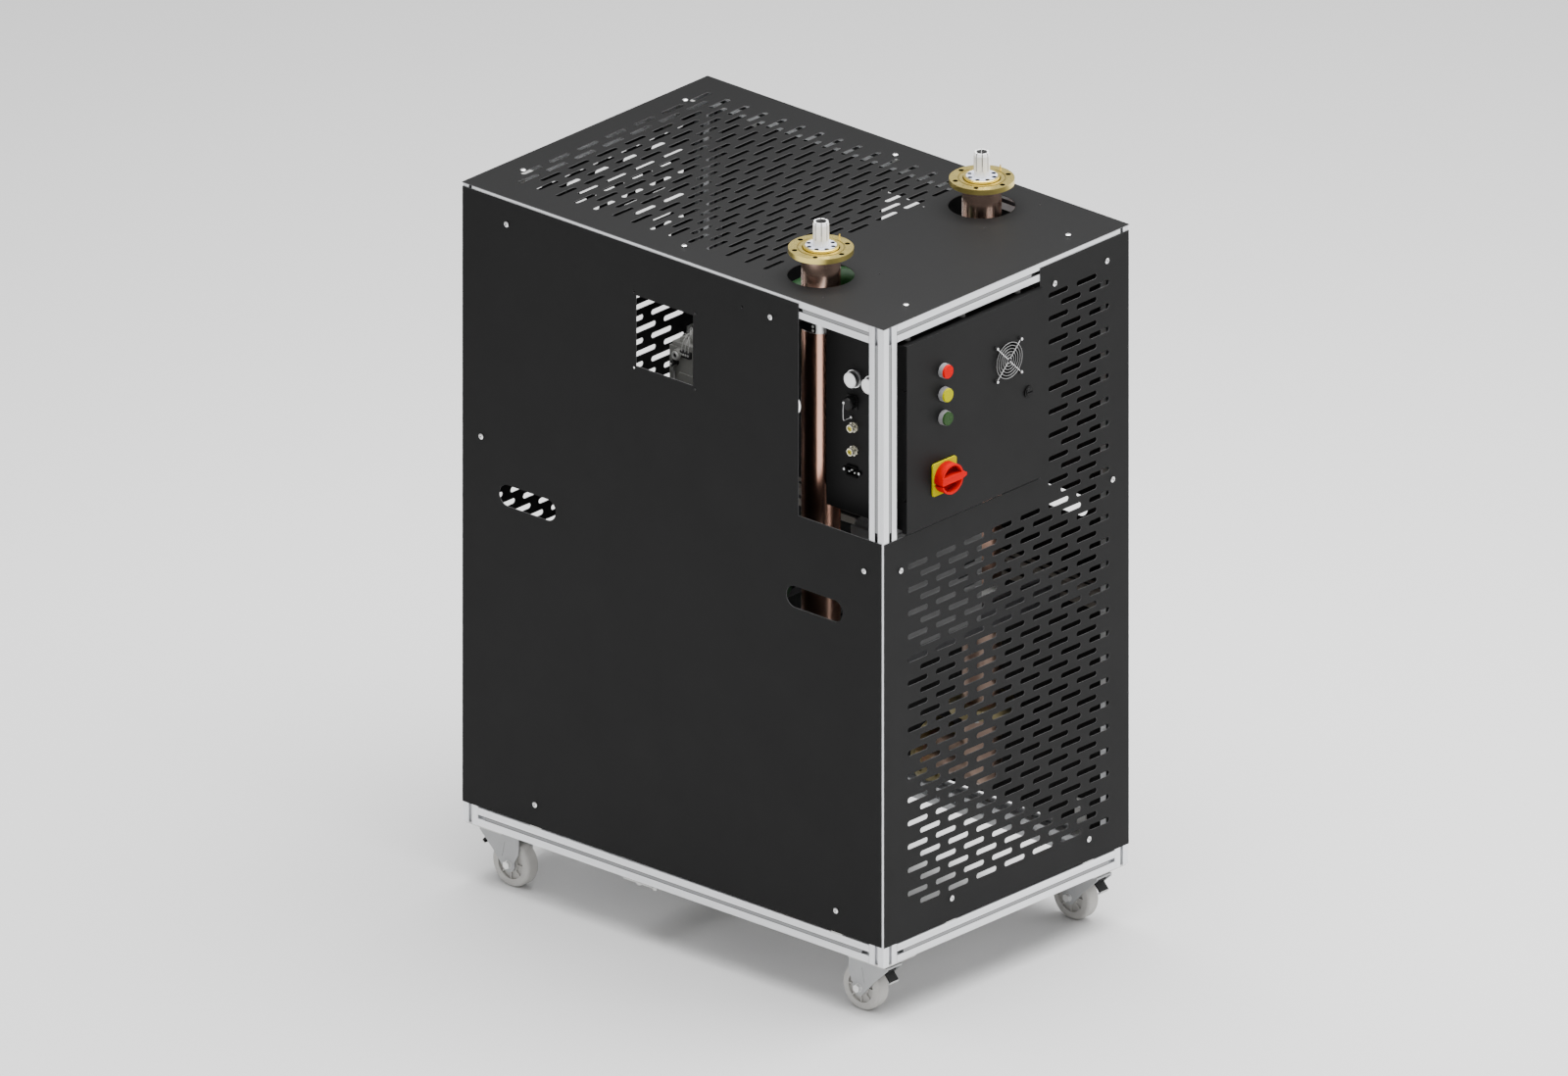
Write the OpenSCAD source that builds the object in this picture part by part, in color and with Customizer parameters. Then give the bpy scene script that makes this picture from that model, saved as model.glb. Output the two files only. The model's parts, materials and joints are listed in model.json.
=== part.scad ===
// Mobile equipment cabinet: slotted aluminium frame on castors, black sheet covers,
// control box in the front corner and two rigid coaxial lines that rise through the top.
// Millimetres. +Z is up, the control box faces -Y, the floor is Z = 0 and the origin is
// the centre of the footprint, knob and pedals included.

/* [Frame] */
// Width of the frame, left to right
frame_w = 730; // [700:5:800]
// Depth of the frame, front to rear
frame_d = 1134; // [1080:2:1250]
// Length of the four posts
post_h = 1386; // [1340:2:1450]
// Side of the square slotted profile
profile = 40; // [38:1:44]
// Mouth of the slots in the profile
slot_mouth = 8.4; // [8.2:0.1:9.4]
// Bore through the core of the profile
core_bore = 8.2; // [8.2:0.1:9]
// Height of the underside of the middle rails above the floor
mid_rail_z = 675; // [640:5:700]

/* [Castors] */
// Height of a castor, floor to frame
castor_h = 128; // [126:1:135]
// Diameter of a castor wheel
wheel_d = 100; // [90:1:102]
// Width of a castor wheel
wheel_w = 32; // [26:1:34]
// Distance from the swivel axis back to the wheel axle
castor_trail = 43; // [38:1:46]
// Thickness of the castor top plate
castor_plate_t = 4; // [3:0.5:5]

/* [Covers] */
// Thickness of the cover sheets
sheet = 1.5; // [1:0.1:2]
// Gap between the side covers' front edge and the front corner
corner_gap = 5.5; // [4:0.5:8]
// Gap between the lower rails and the covers
cover_foot_gap = 3; // [2:0.5:6]
// Length of a ventilation slot
vent_len = 60; // [52:1:64]
// Width of a ventilation slot
vent_w = 11.5; // [9:0.5:13]
// Spacing of ventilation slots along a row
vent_pitch = 84; // [82:1:90]
// Spacing of the rows of ventilation slots
vent_row = 25.38; // [24:0.02:26]
// Sideways step between neighbouring rows
vent_step = 37.3; // [34:0.1:42]
// Length of a hand hole
hand_len = 152; // [140:1:160]
// Height of a hand hole
hand_h = 46; // [40:1:52]
// Height of the hand holes' centre above the floor
hand_z = 868; // [860:1:880]
// Side of the square window in each side cover
window_side = 153; // [140:1:156]
// Height of the windows' centres above the floor
window_z = 1325; // [1310:1:1330]
// Side of the square patterns of four fixing holes
panel_pattern = 165; // [162:1:168]
// Head diameter of the cover screws
screw_head = 12; // [10:0.5:14]

/* [Control box] */
// Width and height of the control box
box_side = 400; // [380:1:410]
// Depth of the control box behind its front rim
box_depth = 205; // [190:1:220]
// Distance from the frame's left face to the box
box_inset = 60; // [56:1:70]
// Height of the spacers between the box and the top rail
hanger_h = 15; // [12:1:20]
// Thickness of the box and door sheet
box_sheet = 1.5; // [1.2:0.1:2]
// Depth of the door pan
door_t = 13; // [12.5:0.5:16]
// How far the door stands out past the box on each side
door_over = 4; // [3.5:0.5:6]
// Spacing of the push buttons
button_pitch = 51; // [46:1:60]
// Diameter of a push button's collar
collar_d = 31; // [29:0.5:34]
// Travel of a push button
button_travel = 3.5; // [2:0.5:4]
// Side of the square switch plate
plate_side = 70; // [68:1:76]
// Diameter of the switch knob
knob_d = 65; // [60:1:66]
// Side of the fan frame
fan_side = 80; // [76:1:84]
// Spacing of the fan screws
fan_pitch = 71.5; // [69:0.5:73]
// Diameter of the cam lock's head
lock_d = 25; // [22:1:28]

/* [Lines] */
// Distance of each line from its side of the frame
line_inset = 125; // [119:1:129]
// Distance of the lines behind the frame's front face
line_back = 282; // [276:1:290]
// Outer diameter of the outer conductor
line_od = 79.4; // [76:0.2:82]
// Wall of the outer conductor
line_wall = 1.25; // [1:0.05:2]
// Diameter of the inner conductor
inner_d = 33.4; // [30:0.2:35]
// Outer diameter of a line flange
flange_d = 131.8; // [128:0.2:134]
// Thickness of a line flange
flange_t = 11; // [9:0.5:14]
// Bolt circle of a line flange
flange_pcd = 111.1; // [106:0.1:112]
// Bolt holes in a line flange
flange_bolts = 6; // [6:6]
// Diameter of a bolt hole in a line flange
flange_hole = 10.4; // [8.4:0.1:11]
// Height of the upper flange faces above the frame
flange_rise = 62; // [50:1:75]
// Height of the inner conductors' ends above the flange faces
inner_rise = 56; // [45:1:60]
// Diameter of the holes in the top cover that the lines pass
top_hole_d = 135; // [132:1:140]
// Height of the elbows' horizontal axis above the floor
elbow_z = 300; // [290:1:320]
// Distance from the elbow's corner to its flange faces
elbow_leg = 133; // [125:1:140]

/* [Inner units] */
// Width of the supply unit
supply_w = 300; // [280:2:306]
// Depth of the supply unit
supply_d = 80; // [70:1:84]
// Gap between the supply unit and the control box above it
supply_gap = 56; // [40:2:90]
// Width of the pump unit
pump_w = 140; // [130:1:146]
// Depth of the pump unit
pump_d = 148; // [140:1:156]
// Height of the pump unit
pump_h = 570; // [550:2:580]
// Outer diameter of the green hoses
hose_d = 50; // [44:1:52]

/* [Hidden] */

$fn = 48;
eps = 0.01;
fit = 0.05;        // radial clearance of a running shaft
loose = 0.2;       // radial clearance of a screw in its hole
air = 0.3;         // clearance between neighbouring pieces

// Frame
fx = frame_w / 2;
fy = frame_d / 2;
// The knob stands out further in front than the screw heads behind, so the frame's middle
// lies behind the origin
box_set = 4;
seal_gap = 3;
plate_t = 4;
knob_h = 21;
knob_out = seal_gap + door_t - box_set + plate_t + air + knob_h + 1;
screw_head_h = 3.2;
frame_y = (knob_out - sheet - screw_head_h) / 2;
z_low = castor_h;
z_high = castor_h + post_h;
half_p = profile / 2;
slot_lip = 4.5;
slot_cavity = 20;
slot_floor = 8.4;
slot_depth = 12.3;
corner_r = 1.5;
post_x = fx - half_p;
post_y = fy - half_p;
span_x = frame_w - 2 * profile;
span_y = frame_d - 2 * profile;
bolt_d = 8;
bolt_head = 13;
bolt_head_h = 5.3;

// Covers
cover_low = z_low + profile + cover_foot_gap;
side_cover_top = z_high - 7;
end_cover_top = z_high - 11;
end_cover_inset = 1.5;
vent_x0 = -264.8;
vent_z0 = cover_low + 70.5;
vent_top_y0 = -180;
vent_top_margin = 55;
screw_d = 6;
screw_len = 9;
tab_t = 3;
tab_w = 30;
tab_leg = 30;
// Cover screws: across the cover, then height above the floor
mid_screw_z = z_low + 849;
top_screw_z = z_high - 57;
low_screw_z = z_low + 90;
side_mid_u = fy - profile - 11;
end_mid_u = fx - profile - 9;
side_top_u = [-448, 263];
side_low_u = [-371, 440];
end_top_u = [143, 299];
end_low_u = [-164, 245];
rear_top_u = [-245, 245];
top_corner = [fx - 123, fy - 51];
hand_u = [-392, 381.5];
window_u = -22.5;
spare_hole_u = 186;

// Control box
box_x0 = -fx + box_inset;
box_x1 = box_x0 + box_side;
box_z1 = z_high - profile - hanger_h;
box_z0 = box_z1 - box_side;
box_y0 = frame_y - fy + box_set;
box_y1 = box_y0 + box_depth;
rim_w = 15;
door_x0 = box_x0 - door_over;
door_x1 = box_x1 + door_over;
door_z0 = box_z0 - door_over;
door_z1 = box_z1 + door_over;
door_y1 = box_y0 - seal_gap;
door_y0 = door_y1 - door_t;
skin_y = door_y0 + box_sheet;
cut_x = door_x1 + 2;
cut_z = door_z0 - 8;
side_cut_u = frame_y - box_y1 - 20;
hinge_x = door_x0 + 4;
hinge_y = door_y1 - 2;
hinge_pin = 4;
knuckle_d = 7;
lug_t = 4;
knuckle_h = 20;
hinge_z = [box_z0 + 70, box_z1 - 70 - knuckle_h];
button_x = box_x0 + 105;
button_z0 = box_z0 + 218;
collar_h = 10;
cap_d = collar_d - 2.4;
cap_out = 14.5;
stem_d = 16;
sleeve_d = 22;
switch_z = box_z0 + 90.5;
knob_shaft = 10;
fan_x = box_x1 - 103;
fan_z = box_z1 - 118;
fan_t = 25;
fan_bore = fan_side - 6;
guard_wire = 1.5;
guard_out = 4.5;
lock_x = box_x1 - 42;
lock_z = box_z1 - 206;
lock_body = 18;
hanger_x = [box_x0 + 32, box_x0 + 0.49 * box_side, box_x1 - 40];
hanger_y = frame_y - post_y;

// Lines
line_x = fx - line_inset;
line_y = frame_y - fy + line_back;
line_sides = [-1, 1];
flange_z = z_high + flange_rise;
inner_top = flange_z + inner_rise;
flange_lip = 4;
disc_d = 69.5;
disc_out = 5;
groove_d = 97;
guide_d = 3;
guide_h = 10;
neck_d = 0.92 * inner_d;
swell_d = 0.98 * inner_d;
disc_hole = 8;
disc_pcd = 52.4;
line_low = elbow_z + elbow_leg;
joint_hole = bolt_d + 2 * loose;
clamp_h = 26;
clamp_t = 5;
clamp_ear = 62;
clamp_z = mid_rail_z + (profile - clamp_h) / 2;
saddle = 10;
bar_line_y = line_y + line_od / 2 + saddle + half_p;

// Inner units
supply_x = -83;
supply_y0 = frame_y - fy + 128;
bar_front_y = supply_y0 + supply_d / 2;
pump_x = -fx + 75;
pump_y = frame_y - 70;
bar_pump_y = pump_y + pump_d / 2;
unit_z = mid_rail_z + profile;
supply_h = box_z0 - supply_gap - unit_z;
hose_x = pump_x + 96;
hose_bend = 60;

// Castors
castor_set = 52;
brake_y = -16;
castor_x = fx - castor_set;
castor_y = fy - castor_set;
plate_half = 48;
axle_d = 12;
leg_t = 3;
leg_gap = 3;
leg_x = wheel_w / 2 + leg_gap;
crown_z = castor_h - 20;
crown_t = 4;
race_d = 52;
kingpin_d = 12;
brake_z = crown_z - 10;
brake_pin = 6;
hood_front = 34;
hood_rear = 70;

// ---------------------------------------------------------------- placing
// Each face's own plane: x to the right seen from outside, y up, z outwards
module face_front() translate([0, frame_y - fy, 0]) rotate([90, 0, 0]) children();
module face_rear() translate([0, frame_y + fy, 0]) rotate([90, 0, 180]) children();
module face_left() translate([-fx, frame_y, 0]) rotate([90, 0, -90]) children();
module face_right() translate([fx, frame_y, 0]) rotate([90, 0, 90]) children();
module face_top() translate([0, frame_y, z_high]) children();
// On the door: x and z as the cabinet's, local z outwards from the skin
module on_door(x, z, y = door_y0) translate([x, y, z]) rotate([90, 0, 0]) children();
// On the box's left wall
module on_wall(y, z) translate([box_x0, y, z]) rotate([90, 0, -90]) children();
module each_line() for (side = line_sides) translate([side * line_x, line_y, 0]) children();
module each_castor() {
    for (sx = [-1, 1], sy = [-1, 1]) translate([sx * castor_x, frame_y + sy * castor_y, 0])
        rotate([0, 0, sy > 0 ? 180 : 0]) children();
}
module castor_at(sx, sy) {
    translate([sx * castor_x, frame_y + sy * castor_y, 0]) rotate([0, 0, sy > 0 ? 180 : 0]) children();
}

// ---------------------------------------------------------------- profile
module slot_cut() {
    // One T slot, cut from the +x side
    polygon([
        [half_p + 1, -slot_mouth / 2], [half_p - slot_lip, -slot_mouth / 2],
        [half_p - slot_lip, -slot_cavity / 2], [half_p - slot_floor, -slot_cavity / 2],
        [half_p - slot_depth, -slot_mouth / 2], [half_p - slot_depth, slot_mouth / 2],
        [half_p - slot_floor, slot_cavity / 2], [half_p - slot_lip, slot_cavity / 2],
        [half_p - slot_lip, slot_mouth / 2], [half_p + 1, slot_mouth / 2]
    ]);
}
module profile_2d() {
    flat = profile - 2 * corner_r;
    difference() {
        union() {
            square([profile, flat], center = true);
            square([flat, profile], center = true);
            for (x = [-1, 1], y = [-1, 1]) translate([x * flat / 2, y * flat / 2]) circle(r = corner_r);
        }
        for (a = [0:90:270]) rotate(a) slot_cut();
        circle(d = core_bore);
    }
}
module bar(length) translate([0, 0, -length / 2]) linear_extrude(length) profile_2d();
module bar_x(length) rotate([0, 90, 0]) bar(length);
module bar_y(length) rotate([90, 0, 0]) bar(length);

module posts(sy) {
    color("gainsboro") for (sx = [-1, 1]) translate([sx * post_x, frame_y + sy * post_y, z_low + post_h / 2]) bar(post_h);
}
module end_rails(z) {
    color("gainsboro") for (sy = [-1, 1]) translate([0, frame_y + sy * post_y, z + half_p]) bar_x(span_x);
}
module side_rails(z) {
    color("gainsboro") for (sx = [-1, 1]) translate([sx * post_x, frame_y, z + half_p]) bar_y(span_y);
}
module posts_front() posts(-1);
module posts_rear() posts(1);
module bottom_end_rails() end_rails(z_low);
module bottom_side_rails() side_rails(z_low);
module top_end_rails() end_rails(z_high - profile);
module top_side_rails() side_rails(z_high - profile);
module mid_rails() side_rails(mid_rail_z);
module cross_bars() {
    color("gainsboro") for (y = [bar_front_y, bar_line_y, bar_pump_y])
        translate([0, y, mid_rail_z + half_p]) bar_x(span_x);
}

// ---------------------------------------------------------------- covers
module vent_2d() {
    square([vent_len - vent_w, vent_w], center = true);
    for (x = [-1, 1]) translate([x * (vent_len - vent_w) / 2, 0]) circle(d = vent_w, $fn = 24);
}
// Rows of slots from y0 to y1; every other row is stepped sideways
module vents(y0, y1, first_step, keep_x = -fx, keep_y = 9999) {
    rows = floor((y1 - y0) / vent_row);
    cols = floor((fx - vent_x0 - vent_step - vent_len / 2 - 50) / vent_pitch);
    for (r = [0:rows], c = [0:cols]) {
        x = vent_x0 + c * vent_pitch + ((r + first_step) % 2) * vent_step;
        y = y0 + r * vent_row;
        if (y + vent_w / 2 < keep_y || x - vent_len / 2 > keep_x) translate([x, y]) vent_2d();
    }
}
module screw_holes(points) for (p = points) translate(p) circle(d = screw_d + 2 * loose, $fn = 24);
module hand_hole() {
    square([hand_len - hand_h, hand_h], center = true);
    for (x = [-1, 1]) translate([x * (hand_len - hand_h) / 2, 0]) circle(d = hand_h);
}
module pattern_4(side, d) {
    for (x = [-1, 1], y = [-1, 1]) translate([x * side / 2, y * side / 2]) circle(d = d, $fn = 24);
}

left_screws = [
    [side_top_u[0], top_screw_z], [side_top_u[1], top_screw_z],
    [-side_mid_u, mid_screw_z], [side_mid_u, mid_screw_z],
    [side_low_u[0], low_screw_z], [side_low_u[1], low_screw_z]
];
right_screws = [
    [side_top_u[0], top_screw_z], [-side_top_u[0], top_screw_z],
    [-side_mid_u, mid_screw_z], [side_mid_u, mid_screw_z],
    [-side_low_u[1], low_screw_z], [-side_low_u[0], low_screw_z]
];
front_screws = [
    [end_top_u[0], top_screw_z], [end_top_u[1], top_screw_z],
    [-end_mid_u, mid_screw_z], [end_mid_u, mid_screw_z],
    [end_low_u[0], low_screw_z], [end_low_u[1], low_screw_z]
];
rear_screws = [
    [rear_top_u[0], top_screw_z], [rear_top_u[1], top_screw_z],
    [-end_mid_u, mid_screw_z], [end_mid_u, mid_screw_z],
    [-end_low_u[1], low_screw_z], [-end_low_u[0], low_screw_z]
];
top_screws = [
    [-top_corner[0], -top_corner[1]], [top_corner[0], -top_corner[1]],
    [-top_corner[0], top_corner[1]], [top_corner[0], top_corner[1]],
    [-(fx - profile - 10), 16], [fx - profile - 10, 16]
];

module side_cover(front_edge) {
    // front_edge is the end nearest the front corner, as a sign along x
    x0 = front_edge > 0 ? -fy : -fy + corner_gap;
    x1 = front_edge > 0 ? fy - corner_gap : fy;
    translate([x0, cover_low]) square([x1 - x0, side_cover_top - cover_low]);
}
module cover_left() {
    color("#2c2c2c") face_left() linear_extrude(sheet) difference() {
        side_cover(1);
        translate([side_cut_u, cut_z]) square([fy, z_high - cut_z]);
        translate([window_u, window_z]) square(window_side, center = true);
        translate([window_u, window_z]) pattern_4(panel_pattern, 5);
        for (u = hand_u) translate([u, hand_z]) hand_hole();
        translate([spare_hole_u, top_screw_z]) circle(d = screw_d, $fn = 24);
        screw_holes(left_screws);
    }
}
module cover_right() {
    color("#2c2c2c") face_right() linear_extrude(sheet) difference() {
        side_cover(-1);
        translate([-window_u, window_z]) square(window_side, center = true);
        translate([-window_u, window_z]) pattern_4(panel_pattern, 5);
        for (u = hand_u) translate([-u, hand_z]) hand_hole();
        screw_holes(right_screws);
    }
}
module end_cover() {
    w = frame_w - 2 * end_cover_inset + 2 * sheet;
    translate([-w / 2, cover_low]) square([w, end_cover_top - cover_low]);
}
module cover_front() {
    color("#363636") face_front() linear_extrude(sheet) difference() {
        end_cover();
        translate([-frame_w, cut_z]) square([frame_w + cut_x, z_high - cut_z]);
        vents(vent_z0, top_screw_z - 20, 1, cut_x + 20, cut_z - vent_top_margin);
        screw_holes(front_screws);
    }
}
module cover_rear() {
    color("#363636") face_rear() linear_extrude(sheet) difference() {
        end_cover();
        vents(vent_z0, top_screw_z - 20, 1);
        screw_holes(rear_screws);
    }
}
module cover_top() {
    w = frame_w + 2 * sheet;
    d = frame_d + 2 * sheet;
    color("#464646") face_top() linear_extrude(sheet) difference() {
        square([w, d], center = true);
        vents(vent_top_y0, fy - profile - 20, 0);
        for (side = line_sides) translate([side * line_x, line_back - fy]) {
            circle(d = top_hole_d);
            pattern_4(panel_pattern, 5);
        }
        screw_holes(top_screws);
    }
}

// Angle tab behind a cover: one leg lies behind the sheet, the other on the frame member,
// whose face is at y = 0; s is the screw's distance from that face
module tab(s) {
    difference() {
        union() {
            translate([-tab_w / 2, 0, -tab_t]) cube([tab_w, s + tab_w / 2, tab_t]);
            translate([-tab_w / 2, 0, -tab_leg]) cube([tab_w, tab_t, tab_leg]);
        }
        translate([0, s, -tab_t - 1]) cylinder(d = screw_d + 2 * loose, h = tab_t + 2, $fn = 24);
    }
}
module side_tabs(points, member_u) {
    rail_under = z_high - profile;
    rail_over = z_low + profile;
    for (i = [0, 1]) translate([points[i][0], rail_under]) rotate([0, 0, 180]) tab(rail_under - points[i][1]);
    for (i = [2, 3]) {
        sign = points[i][0] > 0 ? 1 : -1;
        translate([sign * member_u, points[i][1]]) rotate([0, 0, sign * 90]) tab(member_u - abs(points[i][0]));
    }
    for (i = [4, 5]) translate([points[i][0], rail_over]) tab(points[i][1] - rail_over);
}
module cover_tabs() {
    color("silver") {
        face_left() side_tabs(left_screws, fy - profile);
        face_right() side_tabs(right_screws, fy - profile);
        face_front() side_tabs(front_screws, fx - profile);
        face_rear() side_tabs(rear_screws, fx - profile);
        face_top() {
            for (i = [0:3]) {
                sign = top_screws[i][1] > 0 ? 1 : -1;
                translate([top_screws[i][0], sign * (fy - profile)]) rotate([0, 0, sign > 0 ? 180 : 0])
                    tab(fy - profile - abs(top_screws[i][1]));
            }
            for (i = [4, 5]) {
                sign = top_screws[i][0] > 0 ? 1 : -1;
                translate([sign * (fx - profile), top_screws[i][1]]) rotate([0, 0, sign * 90])
                    tab(fx - profile - abs(top_screws[i][0]));
            }
        }
    }
}
module button_screw() {
    difference() {
        union() {
            translate([0, 0, sheet]) cylinder(d = screw_head, h = screw_head_h / 2);
            translate([0, 0, sheet + screw_head_h / 2])
                cylinder(d1 = screw_head, d2 = screw_head * 0.6, h = screw_head_h / 2);
            translate([0, 0, sheet - screw_len]) cylinder(d = screw_d, h = screw_len);
        }
        translate([0, 0, sheet + screw_head_h - 2]) cylinder(d = 4.6, h = 3, $fn = 6);
    }
}
module cover_screws() {
    color("whitesmoke") {
        face_left() for (p = left_screws) translate(p) button_screw();
        face_right() for (p = right_screws) translate(p) button_screw();
        face_front() for (p = front_screws) translate(p) button_screw();
        face_rear() for (p = rear_screws) translate(p) button_screw();
        face_top() for (p = top_screws) translate(p) button_screw();
    }
}
// Plastic strip pressed into a slot, along x, flush with the outer face
module strip(length) {
    translate([-length / 2, -slot_mouth / 2 + 0.1, -slot_lip]) cube([length, slot_mouth - 0.2, slot_lip - 0.4]);
}
module slot_strips() {
    low = z_low + half_p;
    high = z_high - half_p;
    window_bottom = cut_z + 20;
    window_h = z_high - profile - window_bottom;
    top_run = fx + cut_x - profile - 25;
    side_run = fy - profile - side_cut_u - 10;
    color("lightgray") {
        face_front() translate([0, low]) strip(span_x - 40);
        face_rear() translate([0, low]) strip(span_x - 40);
        face_left() translate([0, low]) strip(span_y - 40);
        face_right() translate([0, low]) strip(span_y - 40);
        face_front() translate([-fx + profile + top_run / 2, high]) strip(top_run);
        face_left() translate([fy - profile - side_run / 2, high]) strip(side_run);
        face_front() translate([-post_x, window_bottom + window_h / 2]) rotate([0, 0, 90]) strip(window_h);
        face_left() translate([post_y, window_bottom + window_h / 2]) rotate([0, 0, 90]) strip(window_h);
    }
}

// ---------------------------------------------------------------- fasteners and base
module hex_bolt(length) {
    // Head below z = 0, shank above it
    translate([0, 0, -bolt_head_h]) cylinder(d = bolt_head / cos(30), h = bolt_head_h, $fn = 6);
    translate([0, 0, -eps]) cylinder(d = bolt_d, h = length + eps, $fn = 24);
}
tie_y = frame_y + 97;
tie_w = 78;
tie_t = 3;
tie_bolts = [tie_y - 31, tie_y + 11];
module tie_plate() {
    color("silver") difference() {
        translate([-fx, tie_y - tie_w / 2, z_low - tie_t]) cube([frame_w, tie_w, tie_t]);
        for (sx = [-1, 1], y = tie_bolts) translate([sx * post_x, y, z_low - tie_t - 1])
            cylinder(d = bolt_d + 2 * loose, h = tie_t + 2, $fn = 24);
    }
}
castor_bolt_x = post_x - castor_x;
castor_bolt_y = post_y - castor_y;
corner_bolts = [[post_x, post_y], [2 * castor_x - post_x, post_y], [post_x, 2 * castor_y - post_y]];
module hex_bolts() {
    color("lightgray") {
        for (sx = [-1, 1], sy = [-1, 1]) for (p = corner_bolts)
            translate([sx * p[0], frame_y + sy * p[1], castor_h - castor_plate_t]) hex_bolt(12);
        for (sx = [-1, 1], y = tie_bolts) translate([sx * post_x, y, z_low - tie_t]) hex_bolt(12);
        each_line() for (i = [0:flange_bolts - 1]) rotate([0, 0, 60 * i + 30])
            translate([flange_pcd / 2, 0, line_low - flange_t]) hex_bolt(2 * flange_t - 1);
        each_line() for (x = [-1, 1]) translate([x * (clamp_ear - 8), line_od / 2 - clamp_t, clamp_z + clamp_h / 2])
            rotate([-90, 0, 0]) hex_bolt(clamp_t + saddle + 8);
    }
}

// ---------------------------------------------------------------- control box
module box_body() {
    inner = box_side - 2 * box_sheet;
    back_y = box_y1 - box_sheet;
    color("#2e2e2e") difference() {
        union() {
            difference() {
                translate([box_x0, box_y0, box_z0]) cube([box_side, box_depth, box_side]);
                translate([box_x0 + box_sheet, box_y0 + box_sheet, box_z0 + box_sheet])
                    cube([inner, box_depth - 2 * box_sheet, inner]);
                translate([box_x0 + rim_w, box_y0 - 1, box_z0 + rim_w])
                    cube([box_side - 2 * rim_w, box_sheet + 2, box_side - 2 * rim_w]);
            }
            for (z = hinge_z) hinge_lug(z);
            for (x = [-1, 1], z = [-1, 1])
                translate([(box_x0 + box_x1) / 2 + x * plate_stud, back_y + eps, (box_z0 + box_z1) / 2 + z * plate_stud])
                    rotate([90, 0, 0]) cylinder(d = 8, h = plate_off, $fn = 24);
        }
        for (x = hanger_x) translate([x, hanger_y, box_z1 - 5]) cylinder(d = screw_d + 2 * loose, h = 10, $fn = 24);
        for (p = cap_places) wall_hole(p[0], p[1], 26);
        wall_hole(wall_y + 5, round_z, 20);
        for (z = jack_z) wall_hole(wall_y, z, 16);
        on_wall(wall_y + 5, inlet_z) translate([0, 0, -5]) linear_extrude(10) square([27, 19], center = true);
    }
}
plate_stud = 160;
plate_off = 20;
module wall_hole(y, z, d) on_wall(y, z) translate([0, 0, -5]) cylinder(d = d, h = 10);
// Lug and pin of a hinge, standing off the box's front rim
module hinge_lug(z) {
    translate([hinge_x - knuckle_d / 2, hinge_y, z - lug_t]) cube([knuckle_d, box_y0 - hinge_y + eps, lug_t]);
    translate([hinge_x, hinge_y, z - lug_t]) cylinder(d = knuckle_d, h = lug_t);
    translate([hinge_x, hinge_y, z - eps]) cylinder(d = hinge_pin, h = knuckle_h);
}
module box_hangers() {
    color("gainsboro") for (x = hanger_x) translate([x, hanger_y, 0]) {
        translate([0, 0, box_z1]) cylinder(d = 13, h = hanger_h);
        translate([0, 0, box_z1 - 4 - box_sheet]) cylinder(d = screw_d, h = hanger_h + 14, $fn = 24);
        translate([0, 0, box_z1 - 4 - box_sheet]) cylinder(d = 11 / cos(30), h = 4, $fn = 6);
    }
}
// Mounting plate at the back of the box, with a rail, a contactor and terminals
module box_plate() {
    cx = (box_x0 + box_x1) / 2;
    cz = (box_z0 + box_z1) / 2;
    side = box_side - 50;
    y = box_y1 - box_sheet - plate_off - 2;
    color("silver") {
        translate([cx - side / 2, y, cz - side / 2]) cube([side, 2, side]);
        for (dz = [-95, 20]) translate([cx - side / 2 + 15, y, cz + dz]) {
            translate([0, -1, 5]) cube([side - 30, 1 + eps, 25]);
            translate([0, -7.5, 0]) cube([side - 30, 1, 8]);
            translate([0, -7.5, 27]) cube([side - 30, 1, 8]);
            translate([0, -7.5, 7]) cube([side - 30, 7.5, 1]);
            translate([0, -7.5, 27]) cube([side - 30, 7.5, 1]);
        }
        for (i = [0:5]) translate([cx - 140 + i * 19, y - 62, cz - 25]) cube([17.5, 62 - 8, 85]);
        translate([cx + 20, y - 85, cz - 18]) cube([45, 85 - 8, 75]);
        for (i = [0:13]) translate([cx - 140 + i * 8.2, y - 45, cz - 105]) cube([7.6, 45 - 8, 55]);
        translate([cx + 10, y - 95, cz - 125]) cube([100, 95 - 8, 90]);
    }
}

module box_door() {
    w = door_x1 - door_x0;
    h = door_z1 - door_z0;
    color("#383838") difference() {
        union() {
            difference() {
                translate([door_x0, door_y0, door_z0]) cube([w, door_t, h]);
                translate([door_x0 + box_sheet, skin_y, door_z0 + box_sheet])
                    cube([w - 2 * box_sheet, door_t, h - 2 * box_sheet]);
            }
            for (z = hinge_z) translate([hinge_x, hinge_y, z + air]) {
                cylinder(d = knuckle_d, h = knuckle_h + 3);
                translate([-knuckle_d / 2, skin_y - hinge_y - eps, 0]) cube([knuckle_d, hinge_y - skin_y + eps, knuckle_h + 3]);
            }
        }
        for (z = hinge_z) {
            translate([hinge_x, hinge_y, z - 1]) cylinder(d = hinge_pin + 2 * fit, h = knuckle_h + 1 + air + 1);
            translate([door_x0 - 1, skin_y, z - lug_t - 1]) cube([box_sheet + 1.01, door_t, lug_t + 1 + air]);
        }
        for (i = [0:2]) on_door(button_x, button_z0 + i * button_pitch) translate([0, 0, -5])
            cylinder(d = sleeve_d + 2 * loose, h = 10);
        on_door(button_x, switch_z) translate([0, 0, -5]) cylinder(d = knob_shaft + 4, h = 10);
        on_door(fan_x, fan_z) translate([0, 0, -5]) cylinder(d = fan_bore, h = 10);
        for (x = [-1, 1], z = [-1, 1]) on_door(fan_x + x * fan_pitch / 2, fan_z + z * fan_pitch / 2)
            translate([0, 0, -5]) cylinder(d = 4 + 2 * loose, h = 10, $fn = 24);
        on_door(lock_x, lock_z) translate([0, 0, -5]) cylinder(d = lock_body + 2 * fit, h = 10);
    }
}
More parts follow.
